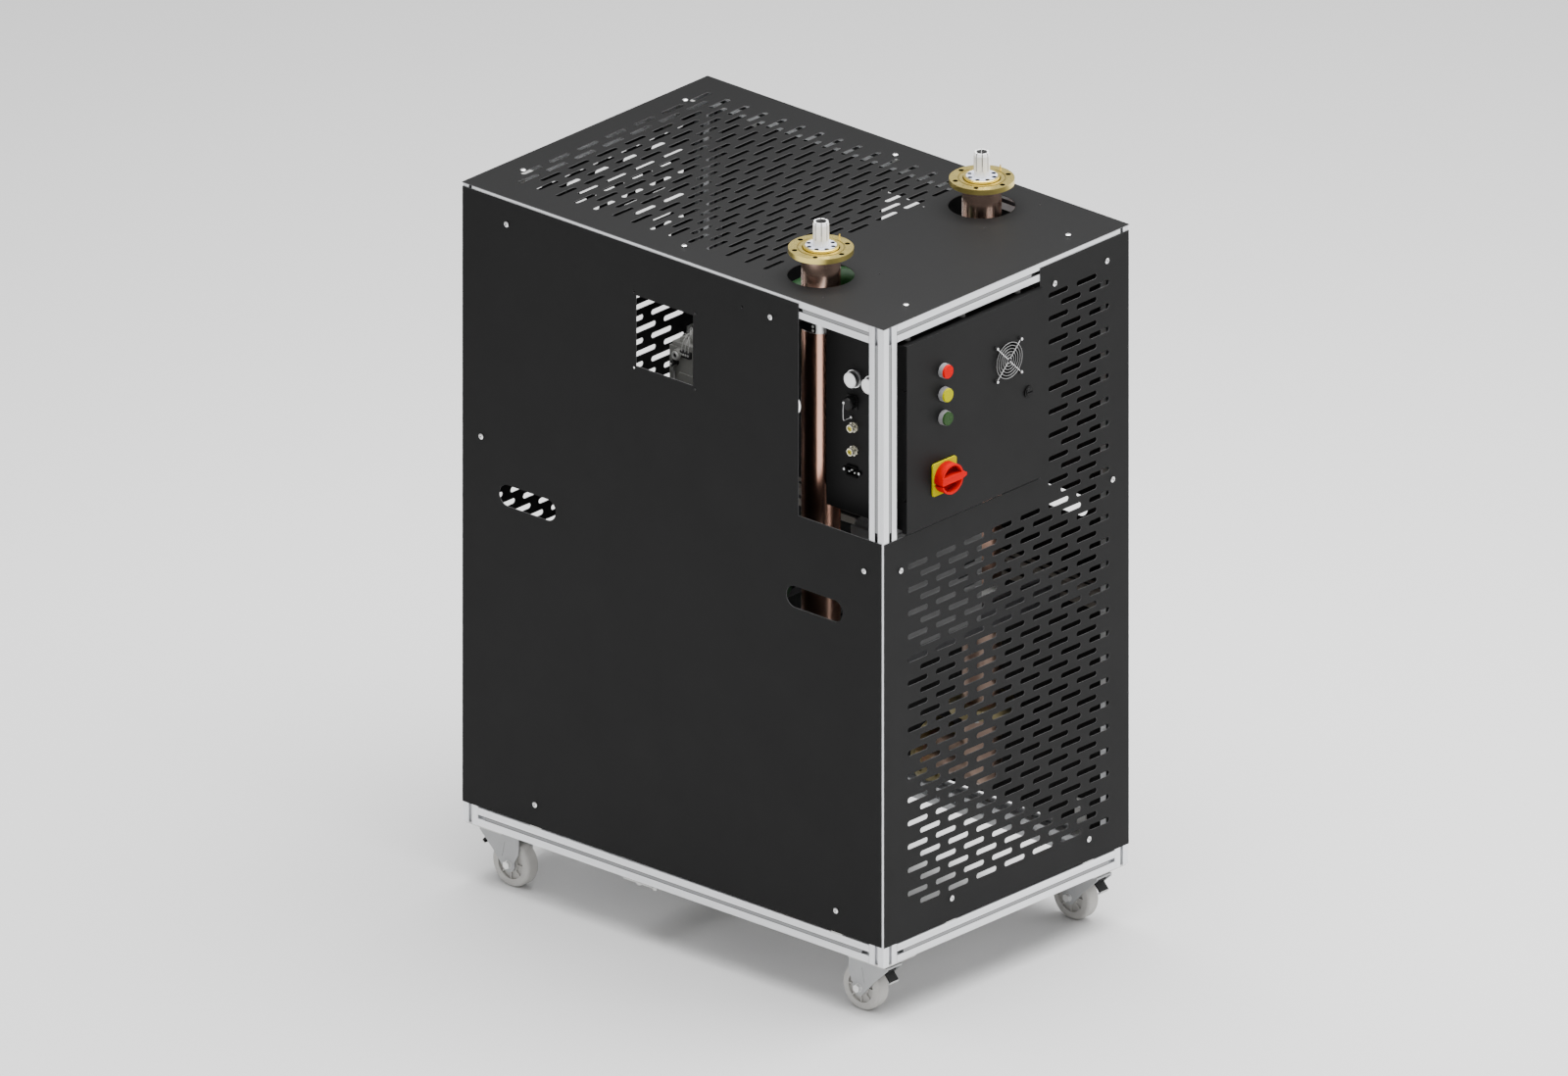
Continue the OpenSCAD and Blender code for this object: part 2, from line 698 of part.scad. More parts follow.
// Foam gasket on the inside of the door, over the box's rim
module door_seal() {
    inset = 6;
    w = 9;
    side = box_side - 2 * inset;
    color("#151515") translate([box_x0 + inset, skin_y, box_z0 + inset]) difference() {
        cube([side, box_y0 - skin_y - air, side]);
        translate([w, -1, w]) cube([side - 2 * w, door_t + seal_gap + 2, side - 2 * w]);
    }
}
module cam_lock() {
    tongue_y = box_y0 + box_sheet + 3;
    body_len = tongue_y - door_y0;
    color("#202020") on_door(lock_x, lock_z) {
        difference() {
            union() {
                translate([0, 0, air]) cylinder(d = lock_d, h = 2.5);
                translate([0, 0, air]) cylinder(d1 = lock_d - 4, d2 = lock_d - 8, h = 4);
                translate([0, 0, -body_len]) cylinder(d = lock_body, h = body_len + air + eps);
            }
            translate([-8, -1.2, 2.2]) cube([16, 2.4, 4]);
        }
        translate([-7, -38, -body_len - 2.5]) cube([14, 45, 2.5]);
        translate([0, 0, -body_len - 6]) cylinder(d = 14 / cos(30), h = 4, $fn = 6);
    }
}
module button_collars() {
    color("gainsboro") for (i = [0:2]) on_door(button_x, button_z0 + i * button_pitch) difference() {
        union() {
            cylinder(d1 = collar_d, d2 = collar_d - 1, h = collar_h);
            translate([0, 0, -30]) cylinder(d = sleeve_d, h = 30 + eps);
            translate([0, 0, -7]) cylinder(d = 29, h = 5);
        }
        translate([0, 0, -31]) cylinder(d = stem_d + 2 * fit, h = 60);
        translate([0, 0, collar_h - 6]) cylinder(d = cap_d + 2 * air, h = 10);
    }
}
module button(i, tint) {
    color(tint) on_door(button_x, button_z0 + i * button_pitch) {
        translate([0, 0, cap_out - 3]) cylinder(d1 = cap_d, d2 = cap_d - 1.5, h = 3);
        translate([0, 0, collar_h - 6 + button_travel + air]) cylinder(d = cap_d, h = cap_out - 3 - collar_h + 6 - button_travel - air + eps);
        translate([0, 0, -26]) cylinder(d = stem_d, h = 26 + cap_out - 1);
    }
}
module button_green() button(0, "mediumseagreen");
module button_yellow() button(1, "gold");
module button_red() button(2, "tomato");

module switch_plate() {
    r = 5;
    flat = plate_side - 2 * r;
    color("gold") on_door(button_x, switch_z) difference() {
        linear_extrude(plate_t) {
            square([plate_side, flat], center = true);
            square([flat, plate_side], center = true);
            for (x = [-1, 1], y = [-1, 1]) translate([x * flat / 2, y * flat / 2]) circle(r = r);
        }
        translate([0, 0, -1]) cylinder(d = knob_shaft + 2 * fit, h = plate_t + 2);
    }
}
module switch_knob() {
    wall = 4;
    floor_h = 3;
    grip_w = 15;
    grip_out = 41;
    color("red") on_door(button_x, switch_z) {
        translate([0, 0, -20]) cylinder(d = knob_shaft, h = 20 + plate_t + 2);
        translate([0, 0, plate_t + air]) difference() {
            cylinder(d1 = knob_d, d2 = knob_d - 1, h = knob_h);
            translate([0, 0, floor_h]) cylinder(d = knob_d - 2 * wall - 1, h = knob_h);
            for (a = [60, 120, 240, 300]) rotate([0, 0, a]) translate([knob_d / 2 - 13, 0, -1]) cylinder(d = 9, h = floor_h + 2);
            rotate([0, 0, 195]) translate([knob_d / 2 - wall - 3, -3, -1]) cube([10, 6, knob_h + 2]);
        }
        translate([0, 0, plate_t + air + floor_h - 1]) difference() {
            translate([-knob_d / 2 + 2, -grip_w / 2, 0]) cube([knob_d / 2 - 2 + grip_out, grip_w, knob_h - floor_h + 2]);
            for (s = [-1, 1]) translate([grip_out - 14, s * grip_w / 2, -1]) rotate([0, 0, -s * 18])
                translate([0, s > 0 ? 0 : -10, 0]) cube([30, 10, knob_h]);
        }
    }
}
module fan_guard() {
    color("whitesmoke") on_door(fan_x, fan_z) {
        translate([0, 0, guard_out]) {
            for (r = [6:6.4:38]) rotate_extrude($fn = 64) translate([r, 0]) circle(d = guard_wire, $fn = 16);
            for (a = [45:90:315]) rotate([0, 0, a]) translate([4, 0, -1.1]) rotate([0, 90, 0])
                cylinder(d = guard_wire, h = fan_pitch / sqrt(2) - 7.2, $fn = 16);
        }
        for (x = [-1, 1], y = [-1, 1]) translate([x * fan_pitch / 2, y * fan_pitch / 2, 0]) difference() {
            cylinder(d = 7.6, h = guard_out);
            translate([0, 0, -1]) cylinder(d = 4 + 2 * loose, h = guard_out + 2, $fn = 24);
        }
    }
}
module fan_screws() {
    color("white") for (x = [-1, 1], z = [-1, 1]) on_door(fan_x + x * fan_pitch / 2, fan_z + z * fan_pitch / 2)
        difference() {
            union() {
                translate([0, 0, guard_out]) cylinder(d1 = 6.6, d2 = 5, h = 2.4);
                translate([0, 0, -12]) cylinder(d = 4, h = 12 + guard_out + eps, $fn = 24);
            }
            translate([-0.5, -2.2, guard_out + 1.2]) cube([1, 4.4, 3]);
            translate([-2.2, -0.5, guard_out + 1.2]) cube([4.4, 1, 3]);
        }
}
module fan_housing() {
    color("#222222") on_door(fan_x, fan_z, skin_y) difference() {
        union() {
            difference() {
                translate([-fan_side / 2, -fan_side / 2, -fan_t]) cube([fan_side, fan_side, fan_t]);
                translate([0, 0, -fan_t - 1]) cylinder(d = fan_bore, h = fan_t + 2);
            }
            translate([0, 0, -fan_t]) cylinder(d = 30, h = 3);
            for (a = [0:90:270]) rotate([0, 0, a + 20]) translate([0, -2, -fan_t]) cube([fan_bore / 2 + 1, 4, 3]);
            translate([0, 0, -fan_t]) cylinder(d = 4, h = fan_t - 4);
        }
        for (x = [-1, 1], y = [-1, 1]) translate([x * fan_pitch / 2, y * fan_pitch / 2, -fan_t - 1])
            cylinder(d = 4 + 2 * loose, h = fan_t + 2, $fn = 24);
    }
}
module fan_rotor() {
    hub = 30;
    color("#303030") on_door(fan_x, fan_z, skin_y) translate([0, 0, -fan_t + 4]) difference() {
        union() {
            cylinder(d = hub, h = fan_t - 7);
            intersection() {
                cylinder(d = fan_bore - 4, h = fan_t - 7);
                for (a = [0:360 / 7:359]) rotate([0, 0, a]) translate([hub / 2 - 2, 0, (fan_t - 7) / 2])
                    rotate([38, 0, 0]) translate([0, -11, -0.8]) cube([fan_bore, 22, 1.6]);
            }
        }
        translate([0, 0, -1]) cylinder(d = 4 + 2 * fit, h = fan_t - 6);
    }
}

// Connectors on the box's left wall
wall_y = box_y0 + 129;
cap_places = [[wall_y, box_z1 - 106], [wall_y - 47, box_z1 - 106]];
round_z = box_z1 - 158;
jack_z = [box_z1 - 211, box_z1 - 262];
inlet_z = box_z1 - 308;
module signal_caps() {
    color("silver") for (p = cap_places) on_wall(p[0], p[1]) {
        cylinder(d = 38, h = 3);
        cylinder(d = 34, h = 5);
        cylinder(d = 32, h = 14);
        translate([0, 0, -12]) cylinder(d = 25, h = 13);
    }
}
module round_connector() {
    color("#262626") on_wall(wall_y + 5, round_z) {
        translate([-14, -14, 0]) cube([28, 28, 2.5]);
        cylinder(d = 27, h = 16);
        for (a = [0:30:330]) rotate([0, 0, a]) translate([13.3, 0, 5]) cylinder(d = 2.4, h = 9, $fn = 16);
        translate([0, 0, 16 - eps]) cylinder(d1 = 27, d2 = 22, h = 3);
        translate([0, 0, -14]) cylinder(d = 19, h = 15);
    }
}
module coax_jacks() {
    color("goldenrod") for (z = jack_z) on_wall(wall_y, z) {
        cylinder(d = 20, h = 3);
        translate([0, 0, 3 - eps]) cylinder(d = 19 / cos(30), h = 3, $fn = 6);
        difference() {
            cylinder(d = 15.8, h = 15);
            translate([0, 0, 8]) cylinder(d = 12.8, h = 8);
        }
        cylinder(d = 6, h = 12);
        cylinder(d = 2.6, h = 20, $fn = 16);
        translate([0, 0, -14]) cylinder(d = 15.4, h = 15);
    }
}
module power_inlet() {
    color("#181818") on_wall(wall_y + 5, inlet_z) difference() {
        union() {
            linear_extrude(3.5) {
                square([28, 24], center = true);
                for (x = [-1, 1]) translate([x * 20, 0]) circle(d = 10);
                square([40, 10], center = true);
            }
            translate([-13.3, -9.3, -20]) cube([26.6, 18.6, 21]);
        }
        translate([-12, -8, -14]) cube([24, 16, 20]);
        for (x = [-1, 1]) translate([x * 20, 0, 2]) cylinder(d = 5, h = 3);
    }
}

// ---------------------------------------------------------------- coaxial lines
module line_flange(t, bore, hole = flange_hole) {
    difference() {
        cylinder(d = flange_d, h = t, $fn = 96);
        translate([0, 0, -1]) cylinder(d = bore, h = t + 2);
        for (i = [0:flange_bolts - 1]) rotate([0, 0, i * 360 / flange_bolts + 30])
            translate([flange_pcd / 2, 0, -1]) cylinder(d = hole, h = t + 2, $fn = 24);
    }
}
module line_tubes() {
    top = flange_z - flange_lip;
    color("peru") each_line() difference() {
        union() {
            translate([0, 0, line_low]) cylinder(d = line_od, h = top - line_low);
            translate([0, 0, line_low]) line_flange(flange_t, line_od - 2, joint_hole);
        }
        translate([0, 0, line_low - 1]) cylinder(d = line_od - 2 * line_wall, h = top - line_low + 2);
    }
}
module top_flanges() {
    base = flange_z - flange_t;
    color("palegoldenrod") each_line() {
        difference() {
            translate([0, 0, base]) line_flange(flange_t, line_od - 2 * line_wall);
            translate([0, 0, base - 1]) cylinder(d = line_od + 2 * fit, h = flange_t - flange_lip + 1);
            translate([0, 0, flange_z - 1.2]) difference() {
                cylinder(d = groove_d, h = 2);
                translate([0, 0, -1]) cylinder(d = groove_d - 5, h = 4);
            }
            translate([-flange_pcd / 2, 0, flange_z - 8]) cylinder(d = guide_d + 2 * loose, h = 9, $fn = 24);
        }
        // Guide pin for the next flange
        translate([flange_pcd / 2, 0, flange_z - 6]) cylinder(d = guide_d, h = guide_h + 6, $fn = 24);
    }
}
module insulators() {
    seat = line_od - 2 * line_wall - 2 * air;
    step = flange_z - 16;
    color("white") each_line() difference() {
        union() {
            translate([0, 0, step - 8]) cylinder(d = seat, h = 8);
            translate([0, 0, step - eps]) cylinder(d = disc_d, h = flange_z + disc_out - step);
        }
        translate([0, 0, step - 9]) cylinder(d = inner_d + 2 * air, h = 9 + flange_z - step - 6);
        translate([0, 0, step]) cylinder(d = neck_d + 2 * air, h = 40);
        disc_holes(step - 9);
    }
    // Lower disc, which the inner conductor stands in
    color("white") each_line() translate([0, 0, line_low - flange_t]) difference() {
        cylinder(d = seat, h = flange_t + 6);
        translate([0, 0, flange_t]) cylinder(d = inner_d + 2 * air, h = 7);
        disc_holes(-1);
    }
}
module inner_conductors() {
    // Plain up to the upper disc, then a sprung end: neck, swell and chamfered tip
    shoulder = flange_z - 6 - air;
    swell = flange_z + disc_out + 6;
    tip_h = 6;
    color("ghostwhite") each_line() difference() {
        union() {
            translate([0, 0, line_low]) cylinder(d = inner_d, h = shoulder - line_low);
            translate([0, 0, shoulder - eps]) cylinder(d = neck_d, h = swell - shoulder + 2 * eps);
            translate([0, 0, swell]) cylinder(d1 = neck_d, d2 = swell_d, h = 8);
            translate([0, 0, swell + 8 - eps]) cylinder(d = swell_d, h = inner_top - tip_h - swell - 8 + 2 * eps);
            translate([0, 0, inner_top - tip_h]) cylinder(d1 = swell_d, d2 = swell_d - 3.5, h = tip_h);
        }
        translate([0, 0, inner_top - 48]) cylinder(d = neck_d - 9, h = 60);
        translate([0, 0, line_low - 1]) cylinder(d = inner_d - 4, h = shoulder - line_low - 8);
        for (a = [0:45:135]) rotate([0, 0, a]) translate([-inner_d, -0.6, inner_top - 40]) cube([2 * inner_d, 1.2, 50]);
    }
}
// Mitred elbow of outer radius r: one leg up, one to the rear, with the corner cut flat
module elbow_form(r, cut, leg) {
    difference() {
        union() {
            intersection() {
                translate([0, 0, -r]) cylinder(r = r, h = leg + r);
                mitre_block(0);
            }
            intersection() {
                translate([0, -r, 0]) rotate([-90, 0, 0]) cylinder(r = r, h = leg + r);
                mitre_block(-4 * elbow_leg);
            }
        }
        rotate([45, 0, 0]) translate([-2 * elbow_leg, -cut - 4 * elbow_leg, -2 * elbow_leg]) cube(4 * elbow_leg);
    }
}
// The half space above the mitre plane, or below it when lowered by its own height
module mitre_block(z) {
    rotate([45, 0, 0]) translate([-2 * elbow_leg, -2 * elbow_leg, z]) cube(4 * elbow_leg);
}
module line_elbows() {
    r = line_od / 2;
    cut = 1.12 * r;
    color("sandybrown") each_line() translate([0, 0, elbow_z]) difference() {
        union() {
            elbow_form(r, cut, elbow_leg);
            translate([0, 0, elbow_leg - flange_t]) line_flange(flange_t, line_od - 2, joint_hole);
            translate([0, elbow_leg - flange_t, 0]) rotate([-90, 0, 0]) line_flange(flange_t, line_od - 2);
        }
        elbow_form(r - line_wall, cut - line_wall, elbow_leg + 1);
    }
}
module disc_holes(z) {
    for (a = [0:45:315]) rotate([0, 0, a + 22.5]) translate([disc_pcd / 2, 0, z]) cylinder(d = disc_hole, h = 30, $fn = 24);
}
module line_clamps() {
    r = line_od / 2;
    color("silver") each_line() translate([0, 0, clamp_z]) difference() {
        union() {
            cylinder(r = r + clamp_t, h = clamp_h);
            translate([-clamp_ear, r - clamp_t + 5, 0]) cube([2 * clamp_ear, saddle + clamp_t - 5, clamp_h]);
            translate([-clamp_ear, r - clamp_t, 0]) cube([2 * clamp_ear, clamp_t + eps, clamp_h]);
        }
        translate([0, 0, -1]) cylinder(r = r + fit, h = clamp_h + 2);
        for (x = [-1, 1]) translate([x * (clamp_ear - 8), 0, clamp_h / 2]) rotate([-90, 0, 0])
            cylinder(d = bolt_d + 2 * loose, h = 2 * r, $fn = 24);
    }
}

// ---------------------------------------------------------------- inner units
module supply_unit() {
    color("lightgray") translate([supply_x - supply_w / 2, supply_y0, unit_z]) difference() {
        union() {
            cube([supply_w, supply_d, supply_h - 12]);
            translate([6, 6, supply_h - 12 - eps]) cube([supply_w - 12, supply_d - 12, 12]);
            translate([-air, -2, 14]) cube([supply_w + 2 * air, 2 + eps, supply_h - 40]);
            for (x = [40, 100, 160]) translate([x, supply_d / 2, supply_h - 1]) cylinder(d = 20, h = 16);
        }
        for (i = [0:6]) translate([supply_w - 70, -3, 60 + i * 12]) cube([50, 8, 5]);
        translate([30, -3, supply_h - 95]) cube([90, 3, 45]);
    }
}
module pump_unit() {
    color("darkgray") translate([pump_x, pump_y, unit_z]) {
        cube([pump_w, pump_d, pump_h - 8]);
        translate([4, 4, pump_h - 8 - eps]) cube([pump_w - 8, pump_d - 8, 8]);
        for (x = [16, 36, 56]) translate([x, pump_d - 20, pump_h - 1]) cylinder(d = 9, h = 10);
        for (x = [26, 70]) translate([x, pump_d - 42, pump_h - 1]) cylinder(d = 14, h = 12);
        // Fittings on the side that faces the window
        translate([eps, pump_d - 27, pump_h - 20]) rotate([0, -90, 0]) cylinder(d = 23, h = 12);
        translate([eps, pump_d - 18, pump_h - 44]) rotate([0, -90, 0]) cylinder(d = 10, h = 14);
        translate([-6, pump_d - 60, pump_h - 22]) cube([6 + eps, 26, 12]);
        translate([-3, 12, pump_h - 200]) cube([3 + eps, pump_d - 40, 140]);
    }
}
// Hose from straight runs and quarter bends, laid end to end
module run(length) cylinder(d = hose_d, h = length);
module quarter() rotate_extrude(angle = 90) translate([hose_bend, 0]) circle(d = hose_d);
// Quarter bends: from +y to up, from below to +x, and from -x to -y
module rise() translate([0, hose_bend, hose_bend]) rotate([0, -90, 0]) rotate([0, 0, 180]) quarter();
module over() translate([hose_bend, 0, -hose_bend]) rotate([90, 0, 0]) rotate([0, 0, 90]) quarter();
module forward() translate([-hose_bend, -hose_bend, 0]) quarter();
module green_hoses() {
    out = 66;
    feed_z = unit_z + pump_h - 45;
    upper = z_high - 109;
    lift = upper - feed_z;
    loop_z = unit_z + 185;
    drop = 155;
    turn_x = -17 - hose_bend;
    far = pump_y - out;
    color("forestgreen") {
        // Feed: out of the pump, up, across to the right and forward to the control box
        translate([hose_x, pump_y, feed_z]) rotate([90, 0, 0]) run(out - hose_bend);
        translate([hose_x, far, feed_z]) rise();
        translate([hose_x, far, feed_z + hose_bend]) run(lift - 2 * hose_bend);
        translate([hose_x, far, upper]) over();
        translate([hose_x + hose_bend, far, upper]) rotate([0, 90, 0]) run(turn_x - hose_x - hose_bend);
        translate([turn_x + hose_bend, far, upper]) forward();
        translate([turn_x + hose_bend, far - hose_bend, upper]) rotate([90, 0, 0]) run(far - hose_bend - box_y1);
        // Return: a loop between two fittings of the pump
        translate([hose_x, pump_y, loop_z]) rotate([90, 0, 0]) run(out - hose_bend);
        translate([hose_x, far, loop_z]) mirror([0, 0, 1]) rise();
        translate([hose_x, far, loop_z - drop + hose_bend]) run(drop - 2 * hose_bend);
        translate([hose_x, far, loop_z - drop]) rise();
        translate([hose_x, pump_y, loop_z - drop]) rotate([90, 0, 0]) run(out - hose_bend);
    }
}

// ---------------------------------------------------------------- castors
module castor_plates() {
    boss_z = castor_h - castor_plate_t - 4;
    color("gainsboro") each_castor() {
        difference() {
            translate([-plate_half, -plate_half, castor_h - castor_plate_t])
                cube([2 * plate_half, 2 * plate_half, castor_plate_t]);
            for (x = [-1, 1], y = [-1, 1]) translate([x * castor_bolt_x, y * castor_bolt_y, castor_h - castor_plate_t - 1])
                cylinder(d = bolt_d + 2 * loose, h = castor_plate_t + 2, $fn = 24);
        }
        translate([0, 0, boss_z]) cylinder(d = race_d - 6, h = castor_h - castor_plate_t - boss_z + eps);
        translate([0, 0, crown_z - 4]) cylinder(d = kingpin_d, h = boss_z - crown_z + 4 + eps);
        translate([0, 0, crown_z - 4 - eps]) cylinder(d = 20, h = 4 - air);
    }
}
module fork() {
    race_top = castor_h - castor_plate_t - 4 - air;
    wheel_z = wheel_d / 2;
    half = leg_x + leg_t;
    color("gainsboro") {
        difference() {
            union() {
                translate([-half, -hood_front, crown_z]) cube([2 * half, hood_front + hood_rear, crown_t]);
                translate([0, 0, crown_z]) cylinder(d = race_d, h = race_top - crown_z);
            }
            translate([0, 0, crown_z - 1]) cylinder(d = kingpin_d + 2 * fit, h = 40);
        }
        // Cheeks, each with a fold line on its outside
        difference() {
            for (s = [-1, 1]) translate([s * (leg_x + leg_t / 2) - leg_t / 2, 0, 0]) rotate([90, 0, 90])
                linear_extrude(leg_t) fork_leg_2d(wheel_z);
            for (s = [-1, 1]) translate([s * half - 0.8, castor_trail - 17, wheel_z + 14]) rotate([-12, 0, 0])
                cube([1.6, 1.8, 34]);
        }
        // Axle with its bolt heads, and the pin that the brake pedal turns on
        translate([-half - 4, castor_trail, wheel_z]) rotate([0, 90, 0])
            cylinder(d = axle_d, h = 2 * (half + 4));
        for (s = [-1, 1]) translate([s * (half + 4), castor_trail, wheel_z]) rotate([0, 90, 0])
            cylinder(d = 15 / cos(30), h = 8, center = true, $fn = 6);
        translate([-leg_x - eps, brake_y, brake_z]) rotate([0, 90, 0])
            cylinder(d = brake_pin, h = 2 * leg_x + 2 * eps, $fn = 24);
    }
}
// Cheek of the fork seen from the side: a hood over the wheel that narrows to the axle boss
module fork_leg_2d(wheel_z) {
    top = crown_z + crown_t;
    polygon([
        [-hood_front, top], [hood_rear, top], [hood_rear, top - 34], [castor_trail + 15, wheel_z + 6],
        [castor_trail, wheel_z - 10], [castor_trail - 11, wheel_z - 12], [4, top - 42], [-hood_front, top - 6]
    ]);
    translate([castor_trail, wheel_z]) circle(r = 16);
}
module wheel() {
    r = wheel_d / 2;
    h = wheel_w / 2;
    round_r = 7;
    recess = 6;
    color("whitesmoke") translate([0, castor_trail, r]) rotate([0, 90, 0]) difference() {
        union() {
            difference() {
                union() {
                    cylinder(r = r - round_r, h = wheel_w, center = true, $fn = 96);
                    cylinder(r = r, h = wheel_w - 2 * round_r, center = true, $fn = 96);
                    for (s = [-1, 1]) translate([0, 0, s * (h - round_r)])
                        rotate_extrude($fn = 96) translate([r - round_r, 0]) circle(r = round_r);
                }
                for (s = [-1, 1]) translate([0, 0, s * (h - recess / 2 + 0.5)]) difference() {
                    cylinder(r = 0.66 * r, h = recess + 1, center = true);
                    cylinder(r = 0.36 * r, h = recess + 2, center = true);
                }
            }
            for (s = [-1, 1], a = [0:45:315]) rotate([0, 0, a])
                translate([0.34 * r, -1.25, s > 0 ? h - recess - 1 : 1.5 - h]) cube([0.34 * r, 2.5, recess - 0.5]);
        }
        cylinder(d = axle_d + 2 * fit, h = 2 * wheel_w, center = true);
    }
}
module pedal() {
    half = leg_x - 1;
    width = 25;
    reach = 28;
    color("#4a4a4a") translate([0, brake_y, brake_z]) difference() {
        union() {
            rotate([0, 90, 0]) cylinder(d = 12, h = 2 * half, center = true);
            rotate([48, 0, 0]) {
                translate([-width / 2, 3 - reach, -2]) cube([width, reach - 5, 3.5]);
                translate([-width / 2, -reach, -7]) cube([width, 3 + eps, 8.5]);
            }
        }
        rotate([0, 90, 0]) cylinder(d = brake_pin + 2 * fit, h = 4 * half, center = true, $fn = 24);
    }
}
module fork_front_left() castor_at(-1, -1) fork();
module fork_front_right() castor_at(1, -1) fork();
module fork_rear_left() castor_at(-1, 1) fork();
module fork_rear_right() castor_at(1, 1) fork();
module wheel_front_left() castor_at(-1, -1) wheel();
module wheel_front_right() castor_at(1, -1) wheel();
module wheel_rear_left() castor_at(-1, 1) wheel();
module wheel_rear_right() castor_at(1, 1) wheel();
module pedal_front_left() castor_at(-1, -1) pedal();
module pedal_front_right() castor_at(1, -1) pedal();
module pedal_rear_left() castor_at(-1, 1) pedal();
module pedal_rear_right() castor_at(1, 1) pedal();

posts_front();
posts_rear();
bottom_end_rails();
bottom_side_rails();
top_end_rails();
top_side_rails();
mid_rails();
cross_bars();
cover_left();
cover_right();
cover_front();
cover_rear();
cover_top();
cover_tabs();
cover_screws();
slot_strips();
castor_plates();
tie_plate();
hex_bolts();
box_body();
box_hangers();
box_plate();
box_door();
door_seal();
cam_lock();
button_collars();
button_red();
button_yellow();
button_green();
switch_plate();
switch_knob();
fan_guard();
fan_screws();
fan_housing();
fan_rotor();
signal_caps();
round_connector();
coax_jacks();
power_inlet();
line_tubes();
top_flanges();
insulators();
inner_conductors();
line_elbows();
line_clamps();
supply_unit();
pump_unit();
green_hoses();
fork_front_left();
fork_front_right();
fork_rear_left();
fork_rear_right();
wheel_front_left();
wheel_front_right();
wheel_rear_left();
wheel_rear_right();
pedal_front_left();
pedal_front_right();
pedal_rear_left();
pedal_rear_right();
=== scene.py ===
import json
import math

import bmesh
import bpy
from mathutils import Matrix, Vector


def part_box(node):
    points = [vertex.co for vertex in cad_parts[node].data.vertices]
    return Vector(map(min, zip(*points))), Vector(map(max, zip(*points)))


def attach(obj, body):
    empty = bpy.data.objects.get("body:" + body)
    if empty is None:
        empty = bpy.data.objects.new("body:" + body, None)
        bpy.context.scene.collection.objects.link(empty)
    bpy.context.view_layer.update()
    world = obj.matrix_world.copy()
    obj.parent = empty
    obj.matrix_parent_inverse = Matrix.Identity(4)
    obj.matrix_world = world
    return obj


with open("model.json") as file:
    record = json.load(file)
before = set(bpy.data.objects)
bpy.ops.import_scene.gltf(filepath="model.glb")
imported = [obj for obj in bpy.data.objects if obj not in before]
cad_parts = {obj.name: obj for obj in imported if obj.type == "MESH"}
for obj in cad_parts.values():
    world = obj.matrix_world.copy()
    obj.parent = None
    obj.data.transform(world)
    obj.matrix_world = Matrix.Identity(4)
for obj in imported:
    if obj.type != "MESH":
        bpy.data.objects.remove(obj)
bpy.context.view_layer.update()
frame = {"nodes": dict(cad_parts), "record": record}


# Slotted frame: posts, rails and cross bars of one extruded aluminium profile, silver anodised;
# the mid-height rails are painted a dim bronze, a painted copper reflection in painted shade, and
# the cross bars where units stand on them are painted black as painted shade. The lengths are
# sawn off and bolted to each other at their ends; the draw lines of the extrusion run along every bar.
class Signal:
    """An output of a shader node. Sums and products of signals add Math nodes."""

    def __init__(self, tree, socket=None):
        self.tree, self.socket = tree, socket

    def node(self, kind, settings, sockets, out=0):
        made = self.tree.nodes.new("ShaderNode" + kind)
        for name, value in settings.items():
            setattr(made, name, value)
        for name, value in sockets.items():
            self.plug(made.inputs[name], value)
        return Signal(self.tree, made.outputs[out])

    def plug(self, socket, value):
        if isinstance(value, Signal):
            self.tree.links.new(value.socket, socket)
        elif hasattr(value, "__len__") and len(socket.default_value) > len(value):
            socket.default_value = (*value, 1)
        else:
            socket.default_value = value

    def math(self, operation, a, b=0.0, clamp=False):
        return self.node("Math", {"operation": operation, "use_clamp": clamp}, {0: a, 1: b})

    def __add__(self, other):
        return self.math("ADD", self, other)

    def __sub__(self, other):
        return self.math("SUBTRACT", self, other)

    def __rsub__(self, other):
        return self.math("SUBTRACT", other, self)

    def __mul__(self, other):
        return self.math("MULTIPLY", self, other)

    __radd__, __rmul__ = __add__, __mul__

    def place(self, stretch=(1, 1, 1)):
        """The point on the part, in metres, with its axes stretched."""
        here = self.node("TexCoord", {}, {}, "Object")
        return self.node("VectorMath", {"operation": "MULTIPLY"}, {0: here, 1: stretch})

    def part(self, axis):
        """One coordinate of the point on the part: 0, 1 or 2 for X, Y or Z."""
        return self.node("SeparateXYZ", {}, {0: self.place()}, axis)

    def inside(self, value, low, high):
        """1 where value lies between low and high, else 0."""
        return self.math("GREATER_THAN", value, low) * self.math("LESS_THAN", value, high)

    def radius(self, centre, axes):
        """Distance from centre across two axes."""
        a, b = (self.part(axis) - centre[axis] for axis in axes)
        return self.math("SQRT", a * a + b * b)

    def grain(self, scale, stretch=(1, 1, 1), detail=3.0, rough=0.5):
        """Cloudy values between 0 and 1; scale is in cells per metre."""
        sockets = {"Vector": self.place(stretch), "Scale": scale, "Detail": detail, "Roughness": rough}
        return self.node("TexNoise", {}, sockets)

    def spread(self, low, high):
        """These values drawn out so that low becomes 0 and high becomes 1."""
        return self.math("MULTIPLY", self - low, 1 / (high - low), clamp=True)

    def mix(self, share, one, other):
        return self.node("Mix", {"data_type": "RGBA"}, {0: share, 6: one, 7: other}, 2)

    def between(self, dark, light):
        """A colour between two, picked by these values."""
        return self.mix(self, dark, light)

    def relief(self, depth, distance=0.001):
        return self.node("Bump", {}, {"Height": self, "Strength": depth, "Distance": distance})


def finish(name, paint, **fixed):
    """A material whose varying values come from paint(signal) and whose other values are fixed."""
    made = bpy.data.materials.new(name)
    made.use_nodes = True
    tree = made.node_tree
    shader = next(n for n in tree.nodes if n.type == "BSDF_PRINCIPLED")
    start = Signal(tree)
    for socket, value in {**fixed, **paint(start)}.items():
        start.plug(shader.inputs[socket.replace("_", " ")], value)
    return made


